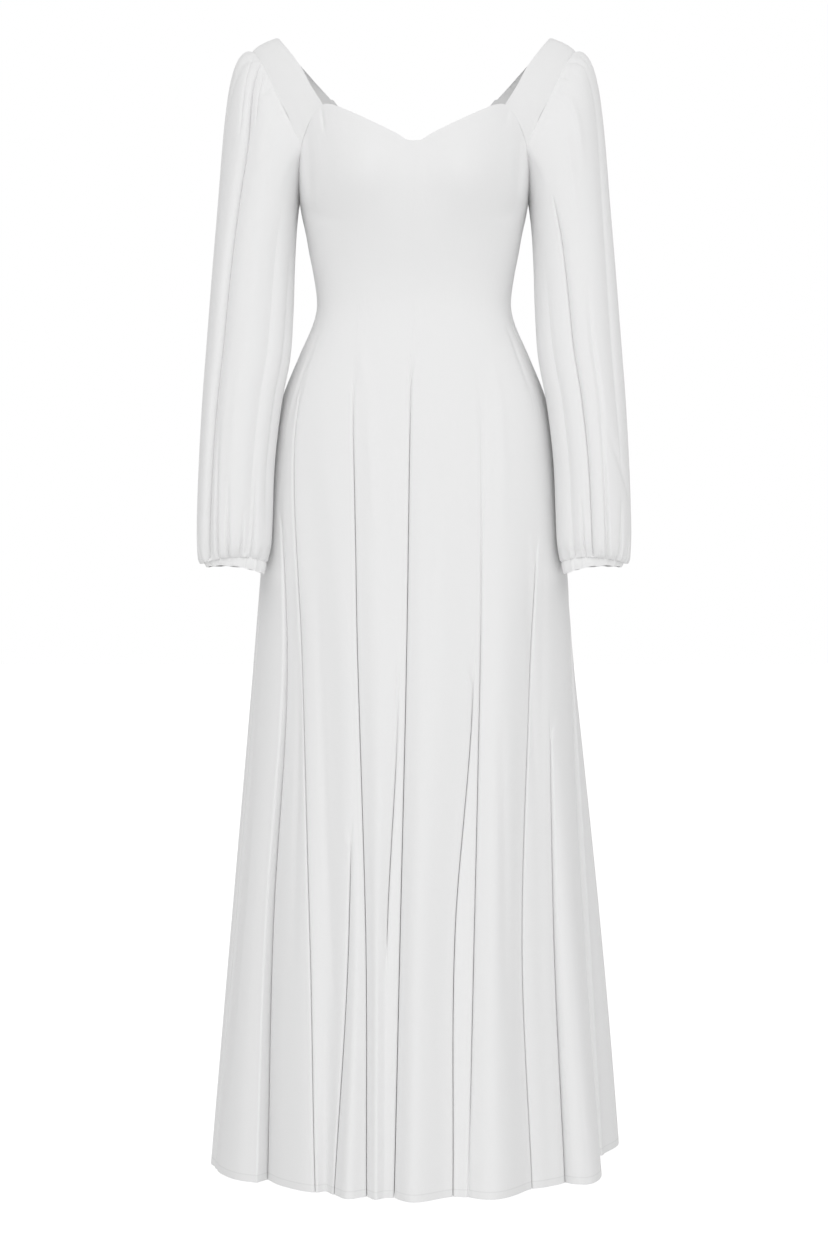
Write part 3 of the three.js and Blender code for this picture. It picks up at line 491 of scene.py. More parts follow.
    def fold(self, tracks: np.ndarray, down: np.ndarray) -> tuple[np.ndarray, np.ndarray]:
        """Where the folds take the skirt's cloth: rounded lobes that meet at their fold lines.

        Args:
            tracks: The columns' tracks.
            down: The rows' levels.

        Returns:
            How far each point stands out, and its angle round the gown.
        """
        plain = self.track_angles(tracks, down)
        lines = self.line_angles(down)
        index = np.minimum(np.floor(tracks).astype(int), len(FOLD_LINES) - 1)
        _, drop = self.lobes(index, plain, down)
        share = tracks - index
        near = np.minimum(share, 1 - share)
        gap = lines[index + 1].T - lines[index].T
        reach = towards(SECTIONS.at("front", down), SECTIONS.at("back", down), 0.5)[:, None]
        half_width = SECTIONS.at("half_width", down)[:, None]
        turned = np.radians(plain)
        degree = np.radians(np.hypot(half_width * np.cos(turned), reach * np.sin(turned)))
        run = gap * degree
        radius = np.minimum(np.minimum(self.LOBE_RADIUS, self.LOBE_RUN_SHARE * run), self.LOBE_DROPS * drop)
        part = np.clip(near / self.FOLD_SHARE, 0, 1)
        wall = np.clip(part / self.WALL_SHARE, 0, 1)
        turn = 0.5 * math.pi * np.clip((part - self.WALL_SHARE) / (1 - self.WALL_SHARE), 0, 1)
        rest = np.clip((near - self.FOLD_SHARE) / (0.5 - self.FOLD_SHARE), 0, 1)
        across = self.SLOT * towards(self.SLOT_FOOT, 1, wall) * (near > 0) + radius * (1 - np.cos(turn))
        across = towards(across, 0.5 * run, rest)
        across = towards(near * run, across, ease(drop / self.FULL_DROP)) / degree
        angle = np.where(share < 0.5, lines[index].T + across, lines[index + 1].T - across)
        out, drop = self.lobes(index, angle, down)
        tall = np.minimum(radius, drop)
        inwards = towards(drop - tall, 0, wall) + tall * (1 - np.sin(turn))
        return out - inwards, angle

    def creases(self, angle: np.ndarray, down: np.ndarray) -> np.ndarray:
        """How far the soft creases listed in the table stand out.

        Args:
            angle: The angles of rows by columns.
            down: The levels, in the same shape.

        Returns:
            The offsets, below 0 in a trough.
        """
        out = np.zeros_like(angle)
        for crease in BODY_CREASES:
            along = (down - crease.top) / (crease.foot - crease.top)
            fade = np.sin(math.pi * np.clip(along, 0, 1)) ** self.CREASE_FADE
            off = turn_off(angle, towards(crease.top_angle, crease.foot_angle, along))
            out -= crease.depth * fade * bump(off, crease.width)
        return out

    @staticmethod
    def fold_direction(angle: np.ndarray) -> np.ndarray:
        """The way that a fold moves the cloth out: forwards in front, sideways at the sides."""
        turned = turn_off(angle, 0)
        front = np.abs(turned) < 90
        swing = np.radians(np.where(front, np.abs(turned), 180 - np.abs(turned)) ** 2 / 90)
        y = np.where(front, -1, 1) * np.cos(swing)
        return np.stack([np.sign(turned) * np.sin(swing), y, np.zeros_like(y)], axis=-1)

    def surface(self, tracks: np.ndarray, rows: np.ndarray) -> np.ndarray:
        """Points of the cloth's outer face.

        Args:
            tracks: The columns' tracks.
            rows: From 0 at the top edge to 1 at the yoke's foot and 2 at the hem.

        Returns:
            The points, rows by columns by three.
        """
        yoke = rows < 1
        skirt = towards(YOKE_DEPTH, GOWN_LENGTH, rows - 1)
        path = np.where(yoke, towards(CHEST_LEVEL, YOKE_DEPTH, rows), skirt)
        out, angle = self.fold(tracks, path)
        start = self.track_angles(tracks, np.array([CHEST_LEVEL]))[0]
        edge = self.top_edge(start)
        down = np.where(yoke[:, None], towards(-edge[:, 2], YOKE_DEPTH, rows[:, None]), path[:, None])
        out[yoke] = 0
        points = self.section(angle, down)
        pull = edge - self.section(start, -edge[:, 2])
        points += np.where(yoke, 1 - ease(rows), 0)[:, None, None] * pull
        direction = self.fold_direction(angle)
        return points + direction * (out + self.creases(angle, down))[..., None]

    def panel_tracks(self, first: int, last: int) -> np.ndarray:
        """The tracks of a panel's columns, close together beside its fold lines."""
        quarter = self.COLUMNS // 4
        folded = self.FOLD_SHARE * np.linspace(0, 1, quarter + 1)
        half = np.concatenate([folded, np.linspace(self.FOLD_SHARE, 0.5, quarter + 1)[1:]])
        share = np.concatenate([half, 1 - half[-2::-1]])
        tracks = [index + share[:-1] for index in range(first, last)]
        return np.concatenate([*tracks, [last]])

    def panel_rows(self) -> np.ndarray:
        """The rows of every panel, close together at the turned hem."""
        yoke = np.linspace(0, 1, self.YOKE_ROWS + 1)[:-1]
        skirt = np.array([*np.linspace(YOKE_DEPTH, self.SKIRT_FOOT, self.SKIRT_ROWS), *HEM_ROWS])
        return np.concatenate([yoke, 1 + (skirt - YOKE_DEPTH) / (GOWN_LENGTH - YOKE_DEPTH)])


body = Body()

# ---- Straps, sleeves and cuffs ----
STRAP_FRONT = (46, 68)
STRAP_BACK = (133, 113)
STRAP_NECK_EDGE = (
    (128, -73, 76),
    (143, -55, 46),
    (159, -30, 21),
    (170.5, -7, 4),
    (173, 9, -1.2),
    (166, 28, 7),
    (148, 50, 24),
    (127, 70, 45),
)
STRAP_ARM_EDGE = (
    (151, -61, 130),
    (158, -60, 111),
    (170, -54, 88),
    (182, -42, 62),
    (195.5, -22, 33),
    (207, 5, 16),
    (197, 30, 32),
    (183, 51, 60),
    (168, 63, 90),
    (153, 67, 116),
)
SLEEVE_RINGS = Table(
    "i out_x out_down in_x in_down mid_y half_depth saddle",
    (
        (0, 207, 17, 146, 212, 0, 62, 25),
        (1, 218.5, 20, 147.2, 219, -1, 66, 22),
        (2, 228.5, 34, 148.2, 227, -2, 68, 17),
        (3, 236, 62, 149, 237, -3, 69, 12),
        (4, 241, 100, 149.8, 251, -5, 68, 8),
        (5, 245, 145, 150.5, 270, -8, 65, 5),
        (6, 250, 215, 151.5, 302, -14, 62, 2),
        (7, 256.3, 300, 152.5, 352, -24, 61, 0),
        (8, 262.5, 392, 156, 412, -36, 61, 0),
        (9, 267.5, 470, 166.5, 472, -47, 61, 0),
        (10, 271, 550, 174.5, 545, -58, 59, 0),
        (11, 272.8, 615, 177, 610, -64, 56, 0),
        (12, 272.6, 650, 178.5, 645, -66, 53, 0),
        (13, 270.5, 667, 181.5, 659, -67, 48, 2),
        (14, 266.5, 673.5, 184.6, 667, -67.5, 41.5, 4),
        (15, 264, 669.5, 185.6, 671, -67.5, 37.5, 5),
    ),
)
CUFF_RINGS = Table(
    "i out_x out_down in_x in_down mid_y half_depth saddle",
    (
        (0, 261.9, 662, 187.8, 664, -67.5, 35.2, 5),
        (1, 261.9, 670, 187.8, 675, -67.5, 35.2, 5),
        (2, 260.5, 678, 188.8, 686.5, -67.5, 34, 5),
    ),
)


@dataclass(frozen=True)
class SleeveFold:
    """A long fold of a sleeve: its angles round the ring at five even steps from cap to wrist, and its form.

    opens and closes are shares of the sleeve's length, left and right its sides' widths in degrees and
    crease the depth of the sharp line at its bottom.
    """

    angles: tuple[float, float, float, float, float]
    depth: float
    opens: float
    closes: float
    left: float
    right: float
    crease: float = 0.0

    def path(self, share: np.ndarray) -> np.ndarray:
        """Its angle at shares of the sleeve's length."""
        return smooth_through(np.linspace(0, 1, len(self.angles)), np.array(self.angles, float), share)


@dataclass(frozen=True)
class SleeveCrease:
    """A short soft trough or ridge of a sleeve between two shares of its length."""

    start: float
    end: float
    start_angle: float
    end_angle: float
    depth: float
    width: float


SLEEVE_FOLDS = {
    Side.RIGHT: (
        SleeveFold((22, 62, 50, 42, 38), 9, -0.02, 0.97, 4, 16, 4.2),
        SleeveFold((8, 50, 42, 34, 30), 1.6, -0.02, 0.3, 3, 5, 1.8),
        SleeveFold((36, 74, 60, 52, 48), 1.2, -0.01, 0.22, 4, 4, 1.5),
        SleeveFold((128, 126, 122, 119, 106), 5, 0.25, 0.96, 12, 7, 0.4),
        SleeveFold((150, 150, 152, 150, 150), 4, 0.3, 0.8, 6, 9, 0.3),
        SleeveFold((205, 208, 212, 216, 220), 8, 0.15, 0.93, 10, 14, 0.8),
        SleeveFold((262, 260, 258, 260, 262), 7, 0.2, 0.93, 12, 8, 0.8),
        SleeveFold((318, 320, 322, 320, 318), 8, 0.04, 0.93, 14, 7, 1.0),
    ),
    Side.LEFT: (
        SleeveFold((12, 28, 40, 42, 42), 4, 0.05, 0.7, 6, 14, 0.6),
        SleeveFold((6, 16, 20, 20, 20), 1.6, -0.02, 0.16, 4, 4, 1.6),
        SleeveFold((118, 114, 103.5, 97, 95), 7, 0.28, 0.97, 5, 15, 3.4),
        SleeveFold((140, 138, 136, 132, 124), 5, 0.35, 0.95, 10, 8, 0.3),
        SleeveFold((200, 203, 206, 210, 214), 8, 0.12, 0.93, 12, 10, 0.8),
        SleeveFold((250, 256, 262, 265, 268), 7, 0.22, 0.93, 8, 12, 0.8),
        SleeveFold((322, 318, 314, 318, 322), 8, 0.05, 0.93, 12, 8, 1.0),
    ),
}
SLEEVE_CREASES = {
    Side.RIGHT: (
        SleeveCrease(0.0, 0.3, 82, 92, 1.6, 6),
        SleeveCrease(0.0, 0.16, 18, 14, 2.2, 3),
        SleeveCrease(0.0, 0.1, 52, 58, 2.0, 3),
        SleeveCrease(0.05, 0.5, 20, 16, 1.6, 3),
        SleeveCrease(0.3, 0.62, 92, 96, -1.2, 8),
        SleeveCrease(0.5, 0.9, 74, 80, 1.0, 7),
        SleeveCrease(0.62, 1.0, 60, 67, 6.0, 3.2),
        SleeveCrease(0.68, 1.0, 82, 86, 5.0, 2.6),
        SleeveCrease(0.72, 1.0, 108, 102, 4.6, 2.4),
        SleeveCrease(0.66, 1.0, 129, 124, 5.0, 3),
        SleeveCrease(0.76, 1.0, 18, 24, 5.0, 3),
    ),
    Side.LEFT: (
        SleeveCrease(0.0, 0.09, 40, 44, 2.4, 3),
        SleeveCrease(0.0, 0.14, 62, 66, 1.8, 3),
        SleeveCrease(0.0, 0.12, 22, 18, 2.2, 3),
        SleeveCrease(0.06, 0.34, 60, 66, -2.0, 5),
        SleeveCrease(0.12, 0.46, 80, 84, -1.2, 5),
        SleeveCrease(0.46, 0.66, 77, 71, 2.6, 4),
        SleeveCrease(0.62, 0.73, 73, 8, 2.4, 5),
        SleeveCrease(0.6, 1.0, 75, 70, 6.0, 3),
        SleeveCrease(0.7, 1.0, 113, 108, 4.8, 2.6),
        SleeveCrease(0.7, 1.0, 45, 50, 5.4, 2.8),
        SleeveCrease(0.76, 1.0, 26, 22, 5.0, 3),
        SleeveCrease(0.78, 1.0, 134, 130, 4.2, 2.4),
    ),
}
GATHERS = 16
# Finer gathers between them: waves round the tube, their start in degrees and their share.
FINE_GATHERS = ((23, 40, 0.5), (31, 115, 0.4), (45, 10, 0.25))


class Arm:
    """The form of one side's strap, sleeve and cuff, worked out on the wearer's left."""

    UNDERARM_POINTS = 10
    PULL_ROWS = 5.0
    MAIN_FOLD = {Side.RIGHT: 0, Side.LEFT: 2}
    COLUMNS_GATHERED = 0.6
    # The shares of the sleeve in which a long fold and its sharp line open and close, and their forms.
    FOLD_OPENING = 0.25
    FOLD_CLOSING = 0.12
    VALLEY_ROUNDING = 0.3
    LINE_OPENING = 0.08
    LINE_CLOSING = 0.06
    LINE_WIDTH = 0.9
    # The gathers' depths, and the shares of the sleeve that they and the sewn ends take.
    GATHER_SHARE = 0.6
    CAP_DEPTH = 2.0
    CAP_REACH = 0.13
    CAP_WIDTH = 62.0
    WRIST_DEPTH = 3.2
    WRIST_REACH = 0.2
    SEWN_REACH = 0.04
    ARMHOLE_SEAM = 0.03
    WRIST_SEAM = 0.02
    WRIST_KEPT = 0.25
    # The cuff's puckers, its rounded middle, and the waves, start and size of its uneven edge.
    CUFF_PUCKER = 1.0
    CUFF_FINE = 0.8
    CUFF_FADE = 0.45
    CUFF_BELLY = 1.6
    CUFF_EDGE = (11, 30, 0.4)

    def __init__(self, side: Side) -> None:
        """Works out the edges of the strap and the armhole.

        Args:
            side: Which side of the wearer it is on.
        """
        self.side = side

        def edge(rows: Sequence[Sequence[float]], i: int) -> Curve:
            """The strap's edge from the bodice's front to its back."""
            points = [np.array([x, y, -down]) for x, y, down in rows]
            return Curve([body.top_edge(STRAP_FRONT[i]), *points, body.top_edge(STRAP_BACK[i])])

        self.neck_edge = edge(STRAP_NECK_EDGE, 0)
        self.arm_edge = edge(STRAP_ARM_EDGE, 1)
        under = body.top_edge(np.linspace(STRAP_FRONT[1], STRAP_BACK[1], self.UNDERARM_POINTS))
        over_front = [self.arm_edge.at(0.5 * (1 - s)) for s in (0, 0.2, 0.4, 0.6, 0.8)]
        over_back = [self.arm_edge.at(1 - 0.5 * s) for s in (0.2, 0.4, 0.6, 0.8)]
        self.armhole = Curve([*over_front, *under, *over_back], closed=True)

    def strap(self, s: np.ndarray, v: np.ndarray) -> np.ndarray:
        """The strap's outer face.

        Args:
            s: Shares of the way from the bodice's front to its back.
            v: Shares of the way from the neckline to the armhole.

        Returns:
            The points, s by v by three.
        """
        front = body.top_edge(towards(STRAP_FRONT[0], STRAP_FRONT[1], v))
        back = body.top_edge(towards(STRAP_BACK[0], STRAP_BACK[1], v))
        s, v = s[:, None, None], v[None, :, None]
        point = towards(self.neck_edge.at(s[..., 0]), self.arm_edge.at(s[..., 0]), v)
        start = towards(self.neck_edge.at(0.0), self.arm_edge.at(0.0), v)
        end = towards(self.neck_edge.at(1.0), self.arm_edge.at(1.0), v)
        return point + (front - start) * (1 - s) + (back - end) * s

    @staticmethod
    def ring(table: Table, place: np.ndarray, angle: np.ndarray) -> tuple[np.ndarray, np.ndarray]:
        """Points of a plain tube of rings.

        Args:
            table: The tube's rings.
            place: Places counted in rings, a column of them.
            angle: Angles round the ring, a row of them.

        Returns:
            The points and the unit directions out of the tube.
        """
        zero = np.zeros_like(place)
        mid_y = table.at("mid_y", place)
        outside = np.stack([table.at("out_x", place), mid_y, -table.at("out_down", place)], axis=-1)
        inside = np.stack([table.at("in_x", place), mid_y, -table.at("in_down", place)], axis=-1)
        middle, half = (outside + inside) / 2, (outside - inside) / 2
        bodyward = np.stack([-half[..., 2], zero, half[..., 0]], axis=-1)
        bodyward /= np.linalg.norm(bodyward, axis=-1, keepdims=True)
        sine, cosine = np.sin(np.radians(angle)), np.cos(np.radians(angle))
        point = middle + half * cosine[..., None]
        point = point + bodyward * (table.at("saddle", place) * sine**2)[..., None]
        point[..., 1] -= table.at("half_depth", place) * sine
        out = point - middle
        return point, out / np.linalg.norm(out, axis=-1, keepdims=True)

    def sleeve_offset(self, share: np.ndarray, angle: np.ndarray) -> np.ndarray:
        """How far the sleeve's cloth stands out of its plain tube.

        Args:
            share: Shares of the sleeve's length, a column of them.
            angle: Angles round it, shares by columns.

        Returns:
            The offsets in millimetres.
        """
        out = np.zeros(np.broadcast(share, angle).shape)
        for fold in SLEEVE_FOLDS[self.side]:
            off = turn_off(angle, fold.path(share))
            begun, left_over = share - fold.opens, fold.closes - share
            grown = ease(begun / self.FOLD_OPENING) * ease(left_over / self.FOLD_CLOSING)
            across = np.hypot(off / np.where(off < 0, fold.left, fold.right), self.VALLEY_ROUNDING)
            out -= fold.depth * grown * np.exp(self.VALLEY_ROUNDING - across)
            sharp = fold.crease * ease(begun / self.LINE_OPENING) * ease(left_over / self.LINE_CLOSING)
            out -= sharp * np.exp(-np.abs(off) / self.LINE_WIDTH)
        for crease in SLEEVE_CREASES[self.side]:
            along = (share - crease.start) / (crease.end - crease.start)
            begun = np.where(crease.start == 0, 0.5, along)
            left_over = np.where(crease.end == 1, 0.5, 1 - along)
            ends = np.clip(2 * np.minimum(begun, left_over), 0, 1)
            fade = np.where((along >= 0) & (along <= 1), np.sin(0.5 * math.pi * ends), 0)
            off = turn_off(angle, towards(crease.start_angle, crease.end_angle, along))
            out -= crease.depth * fade * bump(off, crease.width)
        wave, fine = self.gathers(angle)
        cap = np.clip(1 - share / self.CAP_REACH, 0, 1) * bump(turn_off(angle, 0), self.CAP_WIDTH)
        sewn = np.clip((share - (1 - self.SEWN_REACH)) / self.SEWN_REACH, 0, 1)
        left_over = 1 - share
        wrist = towards(self.WRIST_DEPTH, self.CUFF_PUCKER, sewn) * np.clip(1 - left_over / self.WRIST_REACH, 0, 1)
        free = np.minimum(share / self.ARMHOLE_SEAM, 1)
        kept = free * towards(self.WRIST_KEPT, 1, np.minimum(left_over / self.WRIST_SEAM, 1))
        return out * kept + (wave + fine) * self.GATHER_SHARE * (self.CAP_DEPTH * cap * free + wrist)

    @staticmethod
    def gathers(angle: np.ndarray) -> tuple[np.ndarray, np.ndarray]:
        """The waves that gathering puts round a tube, main and finer ones, at angles round it."""
        wave = np.cos(np.radians(angle * GATHERS))
        fine = sum(size * np.cos(np.radians(count * angle + start)) for count, start, size in FINE_GATHERS)
        return wave, fine

    def sleeve(self, share: np.ndarray, columns: int) -> np.ndarray:
        """The sleeve's outer face, from the armhole to the wrist, with its first row on the armhole's edge.

        Args:
            share: Shares of the sleeve's length.
            columns: How many columns go round it, closest together along its main fold, which they follow.

        Returns:
            The points, shares by columns by three, with the last column on the first.
        """
        share = share[:, None]
        round_it = np.linspace(0, 1, columns + 1)[None, :]
        gathered = round_it - self.COLUMNS_GATHERED * np.sin(2 * math.pi * round_it) / (2 * math.pi)
        angle = SLEEVE_FOLDS[self.side][self.MAIN_FOLD[self.side]].path(share) + 360 * gathered
        place = share * (len(SLEEVE_RINGS.places) - 1)
        point, out = self.ring(SLEEVE_RINGS, place, angle)
        first, _ = self.ring(SLEEVE_RINGS, np.zeros_like(share), angle)
        pull = self.armhole.at(np.mod(angle, 360) / 360) - first
        point = point + pull * (1 - ease(place / self.PULL_ROWS))[..., None]
        return point + out * self.sleeve_offset(share, angle)[..., None]

    def cuff(self, share: np.ndarray, angle: np.ndarray) -> np.ndarray:
        """The cuff's outer face, puckered by its gathering, with an uneven lower edge.

        Args:
            share: Shares of the cuff's length.
            angle: Angles round it.

        Returns:
            The points, shares by angles by three.
        """
        share, angle = share[:, None], angle[None, :]
        place = share * (len(CUFF_RINGS.places) - 1)
        point, out = self.ring(CUFF_RINGS, place, angle)
        wave, fine = self.gathers(angle)
        belly = np.sin(math.pi * share) * self.CUFF_BELLY
        puckers = self.CUFF_PUCKER * self.GATHER_SHARE * wave + fine * self.CUFF_FINE
        point = point + out * (puckers * (1 - self.CUFF_FADE * share) + belly)[..., None]
        count, start, size = self.CUFF_EDGE
        point[..., 2] += share * size * np.cos(np.radians(angle * count + start))
        return point

    def placed(self, points: np.ndarray) -> np.ndarray:
        """The points on this arm's own side of the gown."""
        return points * np.array([self.side.value, 1, 1])


# ---- Meshes ----
def cloth_piece(name: str, points: np.ndarray, closed: bool, facing: int, thickness: float) -> bpy.types.Object:
    """A shell of cloth over a grid of points, with a UV map in metres that starts at its lower edge.

    Args:
        name: The piece's name.
        points: Its outer face in millimetres, rows from the top by columns by three.
        closed: Whether the last column is the first again.
        facing: 1 where the outside is on the left of the way down the grid, or -1.
        thickness: The cloth's thickness in millimetres.

    Returns:
        The finished object, with its outer face on the points.
    """
    rows, columns = points.shape[:2]
    grid = bmesh.new()
    grid.loops.layers.uv.new("UVMap")
    bmesh.ops.create_grid(grid, x_segments=columns - 1, y_segments=rows - 1, size=0.5, calc_uvs=True)
    if facing < 0:
        bmesh.ops.reverse_faces(grid, faces=grid.faces[:])
    mesh = bpy.data.meshes.new(name)
    grid.to_mesh(mesh)
    grid.free()
    flat = np.empty(len(mesh.vertices) * 3, np.float32)
    mesh.vertices.foreach_get("co", flat)
    flat = flat.reshape(-1, 3)
    column = np.rint((flat[:, 0] + 0.5) * (columns - 1)).astype(int)
    row = np.rint((0.5 - flat[:, 1]) * (rows - 1)).astype(int)
    mesh.vertices.foreach_set("co", (points[row, column] * MM).astype(np.float32).ravel())
    run_across = np.zeros((rows, columns))
    run_across[:, 1:] = np.cumsum(np.linalg.norm(np.diff(points, axis=1), axis=2), axis=1)
    run_up = np.zeros((rows, columns))
    run_up[:-1] = np.cumsum(np.linalg.norm(np.diff(points, axis=0), axis=2)[::-1], axis=0)[::-1]
    across = run_across.mean(axis=0)[None, :] * np.ones((rows, 1))
    corner = np.empty(len(mesh.loops), np.int32)
    mesh.loops.foreach_get("vertex_index", corner)
    uv = np.stack([across[row[corner], column[corner]], run_up[row[corner], column[corner]]], axis=-1) * MM
    mesh.uv_layers[0].data.foreach_set("uv", uv.astype(np.float32).ravel())
    shell = bmesh.new()
    shell.from_mesh(mesh)
    if closed:
        ends = [v for v in shell.verts if v.is_boundary]
        bmesh.ops.remove_doubles(shell, verts=ends, dist=1e-6)
    for edge in shell.edges:
        edge.smooth = not edge.is_boundary
    for face in shell.faces:
        face.smooth = True
    shell.to_mesh(mesh)
    shell.free()
    size = (run_across.max(axis=1).max() * MM, run_up.max() * MM)
    log.info("%s: %.3f by %.3f metres along the cloth", name, *size)
    piece = bpy.data.objects.new(name, mesh)
    bpy.context.scene.collection.objects.link(piece)
    wall = piece.modifiers.new("cloth", "SOLIDIFY")
    wall.thickness = thickness * MM
    wall.offset = -1
    wall.use_even_offset = False
    return piece


# ---- Finishes ----
@dataclass(frozen=True)
class Crepe:
    """A matt crepe with a fine uneven grain and a soft sheen, and a turned hem where it has one."""

    name: str
    color: tuple[float, float, float] = (0.87, 0.87, 0.87)
    mottle: float = 0.015
    roughness: float = 0.68
    specular: float = 0.3
    sheen: float = 0.12
    sheen_roughness: float = 0.45
    translucence: float = 0.1
    light_reach: float = 0.0008
    grain_size: float = 0.0011
    grain_stretch: float = 0.55
    grain_depth: float = 0.00006
    slub_waves: float = 90.0
    slub_depth: float = 0.00025
    hem: float = 0.0
    hem_tone: float = 0.985
    # The darker line along the stitches is painted shade of their groove: how much darker it is, and its half
    # width.
    stitch_groove_shade: float = 0.06
    stitch_groove_shade_width: float = 0.0007

    def material(self) -> bpy.types.Material:
        """Builds the material's nodes.

        Returns:
            The material.
        """
        material, tree, shader = start_material(self.name)
        where = tree.nodes.new("ShaderNodeTexCoord")
        cloth = tree.nodes.new("ShaderNodeMapping")
        set_inputs(cloth, {"Scale": (1.0, self.grain_stretch, 1.0)})
        tree.links.new(where.outputs["UV"], cloth.inputs["Vector"])
        grain = noise(tree, cloth.outputs["Vector"], 1 / self.grain_size, 3.0, 0.6)
        slub = noise(tree, cloth.outputs["Vector"], self.slub_waves, 2.0, 0.5)
        shade = mapped(tree, grain, 1 - self.mottle, 1 + self.mottle)
        if self.hem:
            shade = math_node(tree, "MULTIPLY", shade, self.hem_shade(tree, where.outputs["UV"]))
        tint = tree.nodes.new("ShaderNodeVectorMath")
        tint.operation = "SCALE"
        tint.inputs[0].default_value = self.color
        tree.links.new(shade, tint.inputs["Scale"])
        tree.links.new(tint.outputs["Vector"], shader.inputs["Base Color"])
        set_inputs(
            shader,
            {
                "Roughness": self.roughness,
                "Specular IOR Level": self.specular,
                "Sheen Weight": self.sheen,
                "Sheen Roughness": self.sheen_roughness,
                "Subsurface Weight": self.translucence,
                "Subsurface Radius": (1.0, 1.0, 1.0),
                "Subsurface Scale": self.light_reach,
            },
        )
        coarse = bump_node(tree, slub, self.slub_depth, None)
        fine = bump_node(tree, grain, self.grain_depth, coarse)
        tree.links.new(fine, shader.inputs["Normal"])
        return material

    def hem_shade(self, tree: bpy.types.NodeTree, uv: bpy.types.NodeSocket) -> bpy.types.NodeSocket:
        """How the turned hem changes the cloth's colour: a slight change below its line of stitches, and a darker
        line along the stitches, which is painted shade of their groove.

        Args:
            tree: The material's nodes.
            uv: The cloth's UV map, in metres up from the lower edge.

        Returns:
            The socket with the shade, 1 on single cloth.
        """
        split = tree.nodes.new("ShaderNodeSeparateXYZ")
        tree.links.new(uv, split.inputs["Vector"])
        height = split.outputs["Y"]
        doubled = math_node(tree, "LESS_THAN", height, self.hem)
        off = math_node(tree, "ABSOLUTE", math_node(tree, "SUBTRACT", height, self.hem))
        # Painted shade: the cloth is darkened along the stitches' groove.
        line = math_node(tree, "LESS_THAN", off, self.stitch_groove_shade_width)
        shade = math_node(tree, "MULTIPLY_ADD", doubled, self.hem_tone - 1, 1.0)
        return math_node(tree, "MULTIPLY", shade, math_node(tree, "MULTIPLY_ADD", line, -self.stitch_groove_shade, 1.0))


@dataclass(frozen=True)
class Enamel:
    """White enamelled metal of a small zip part, with a faint orange peel and an uneven polish."""

    name: str
    color: tuple[float, float, float] = (0.74, 0.735, 0.72)
    polished: float = 0.26
    dull: float = 0.42
    metal: float = 0.25
    peel_waves: float = 1800.0
    peel_depth: float = 0.00001

    def material(self) -> bpy.types.Material:
        """Builds the material's nodes.

        Returns:
            The material.
        """
        material, tree, shader = start_material(self.name)
        where = tree.nodes.new("ShaderNodeTexCoord")
        peel = noise(tree, where.outputs["Object"], self.peel_waves, 2.0, 0.5)
        tree.links.new(mapped(tree, peel, self.polished, self.dull), shader.inputs["Roughness"])
        set_inputs(shader, {"Base Color": (*self.color, 1.0), "Metallic": self.metal})
        tree.links.new(bump_node(tree, peel, self.peel_depth, None), shader.inputs["Normal"])
        return material


@dataclass(frozen=True)
class Tape:
    """The woven tape of a zip, with its ribs across."""

    name: str
    color: tuple[float, float, float] = (0.79, 0.79, 0.79)
    roughness: float = 0.8
    rib_scale: float = 55.5556
    rib_unevenness: float = 0.6
    rib_depth: float = 0.0002

    def material(self) -> bpy.types.Material:
        """Builds the material's nodes.

        Returns:
            The material.
        """
        material, tree, shader = start_material(self.name)
        where = tree.nodes.new("ShaderNodeTexCoord")
        ribs = tree.nodes.new("ShaderNodeTexWave")
        ribs.wave_type = "BANDS"
        ribs.bands_direction = "Z"
        set_inputs(ribs, {"Scale": self.rib_scale, "Distortion": self.rib_unevenness})
        tree.links.new(where.outputs["Object"], ribs.inputs["Vector"])
        set_inputs(shader, {"Base Color": (*self.color, 1.0), "Roughness": self.roughness})
        tree.links.new(bump_node(tree, ribs.outputs["Fac"], self.rib_depth, None), shader.inputs["Normal"])
        return material


def start_material(name: str) -> tuple[bpy.types.Material, bpy.types.NodeTree, bpy.types.Node]:
    """A new material with only its shader and output.

    Args:
        name: The material's name.

    Returns:
        The material, its node tree and its shader.
    """
    material = bpy.data.materials.new(name)
    material.use_nodes = True
    tree = material.node_tree
    tree.nodes.clear()
    shader = tree.nodes.new("ShaderNodeBsdfPrincipled")
    output = tree.nodes.new("ShaderNodeOutputMaterial")
    tree.links.new(shader.outputs["BSDF"], output.inputs["Surface"])
    return material, tree, shader


def set_inputs(node: bpy.types.Node, values: dict[str, float | tuple[float, ...]]) -> None:
    """Sets a node's own inputs.

    Args:
        node: The node.
        values: The inputs' values by their names.
    """
    for name, value in values.items():
        node.inputs[name].default_value = value


def noise(
    tree: bpy.types.NodeTree, where: bpy.types.NodeSocket, scale: float, detail: float, rough: float
) -> bpy.types.NodeSocket:
    """A noise pattern's value.

    Args:
        tree: The material's nodes.
        where: The coordinates it reads.
        scale: Its waves in a metre.
        detail: How many finer waves it has.
        rough: How strong they are.

    Returns:
        The socket with the value.
    """
    node = tree.nodes.new("ShaderNodeTexNoise")
    set_inputs(node, {"Scale": scale, "Detail": detail, "Roughness": rough})
    tree.links.new(where, node.inputs["Vector"])
    return node.outputs["Fac"]


def mapped(
    tree: bpy.types.NodeTree,
    value: bpy.types.NodeSocket,
    low: float,
    high: float,
    start: float = 0.0,
    end: float = 1.0,
) -> bpy.types.NodeSocket:
    """A value moved from one range to another.

    Args:
        tree: The nodes that it joins.
        value: The socket with the value.
        low: What the old range's start becomes.
        high: What its end becomes.
        start: The old range's start.
        end: Its end.

    Returns:
        The socket with the result.
    """
    node = tree.nodes.new("ShaderNodeMapRange")
    set_inputs(node, {"From Min": start, "From Max": end, "To Min": low, "To Max": high})
    tree.links.new(value, node.inputs["Value"])
    return node.outputs["Result"]


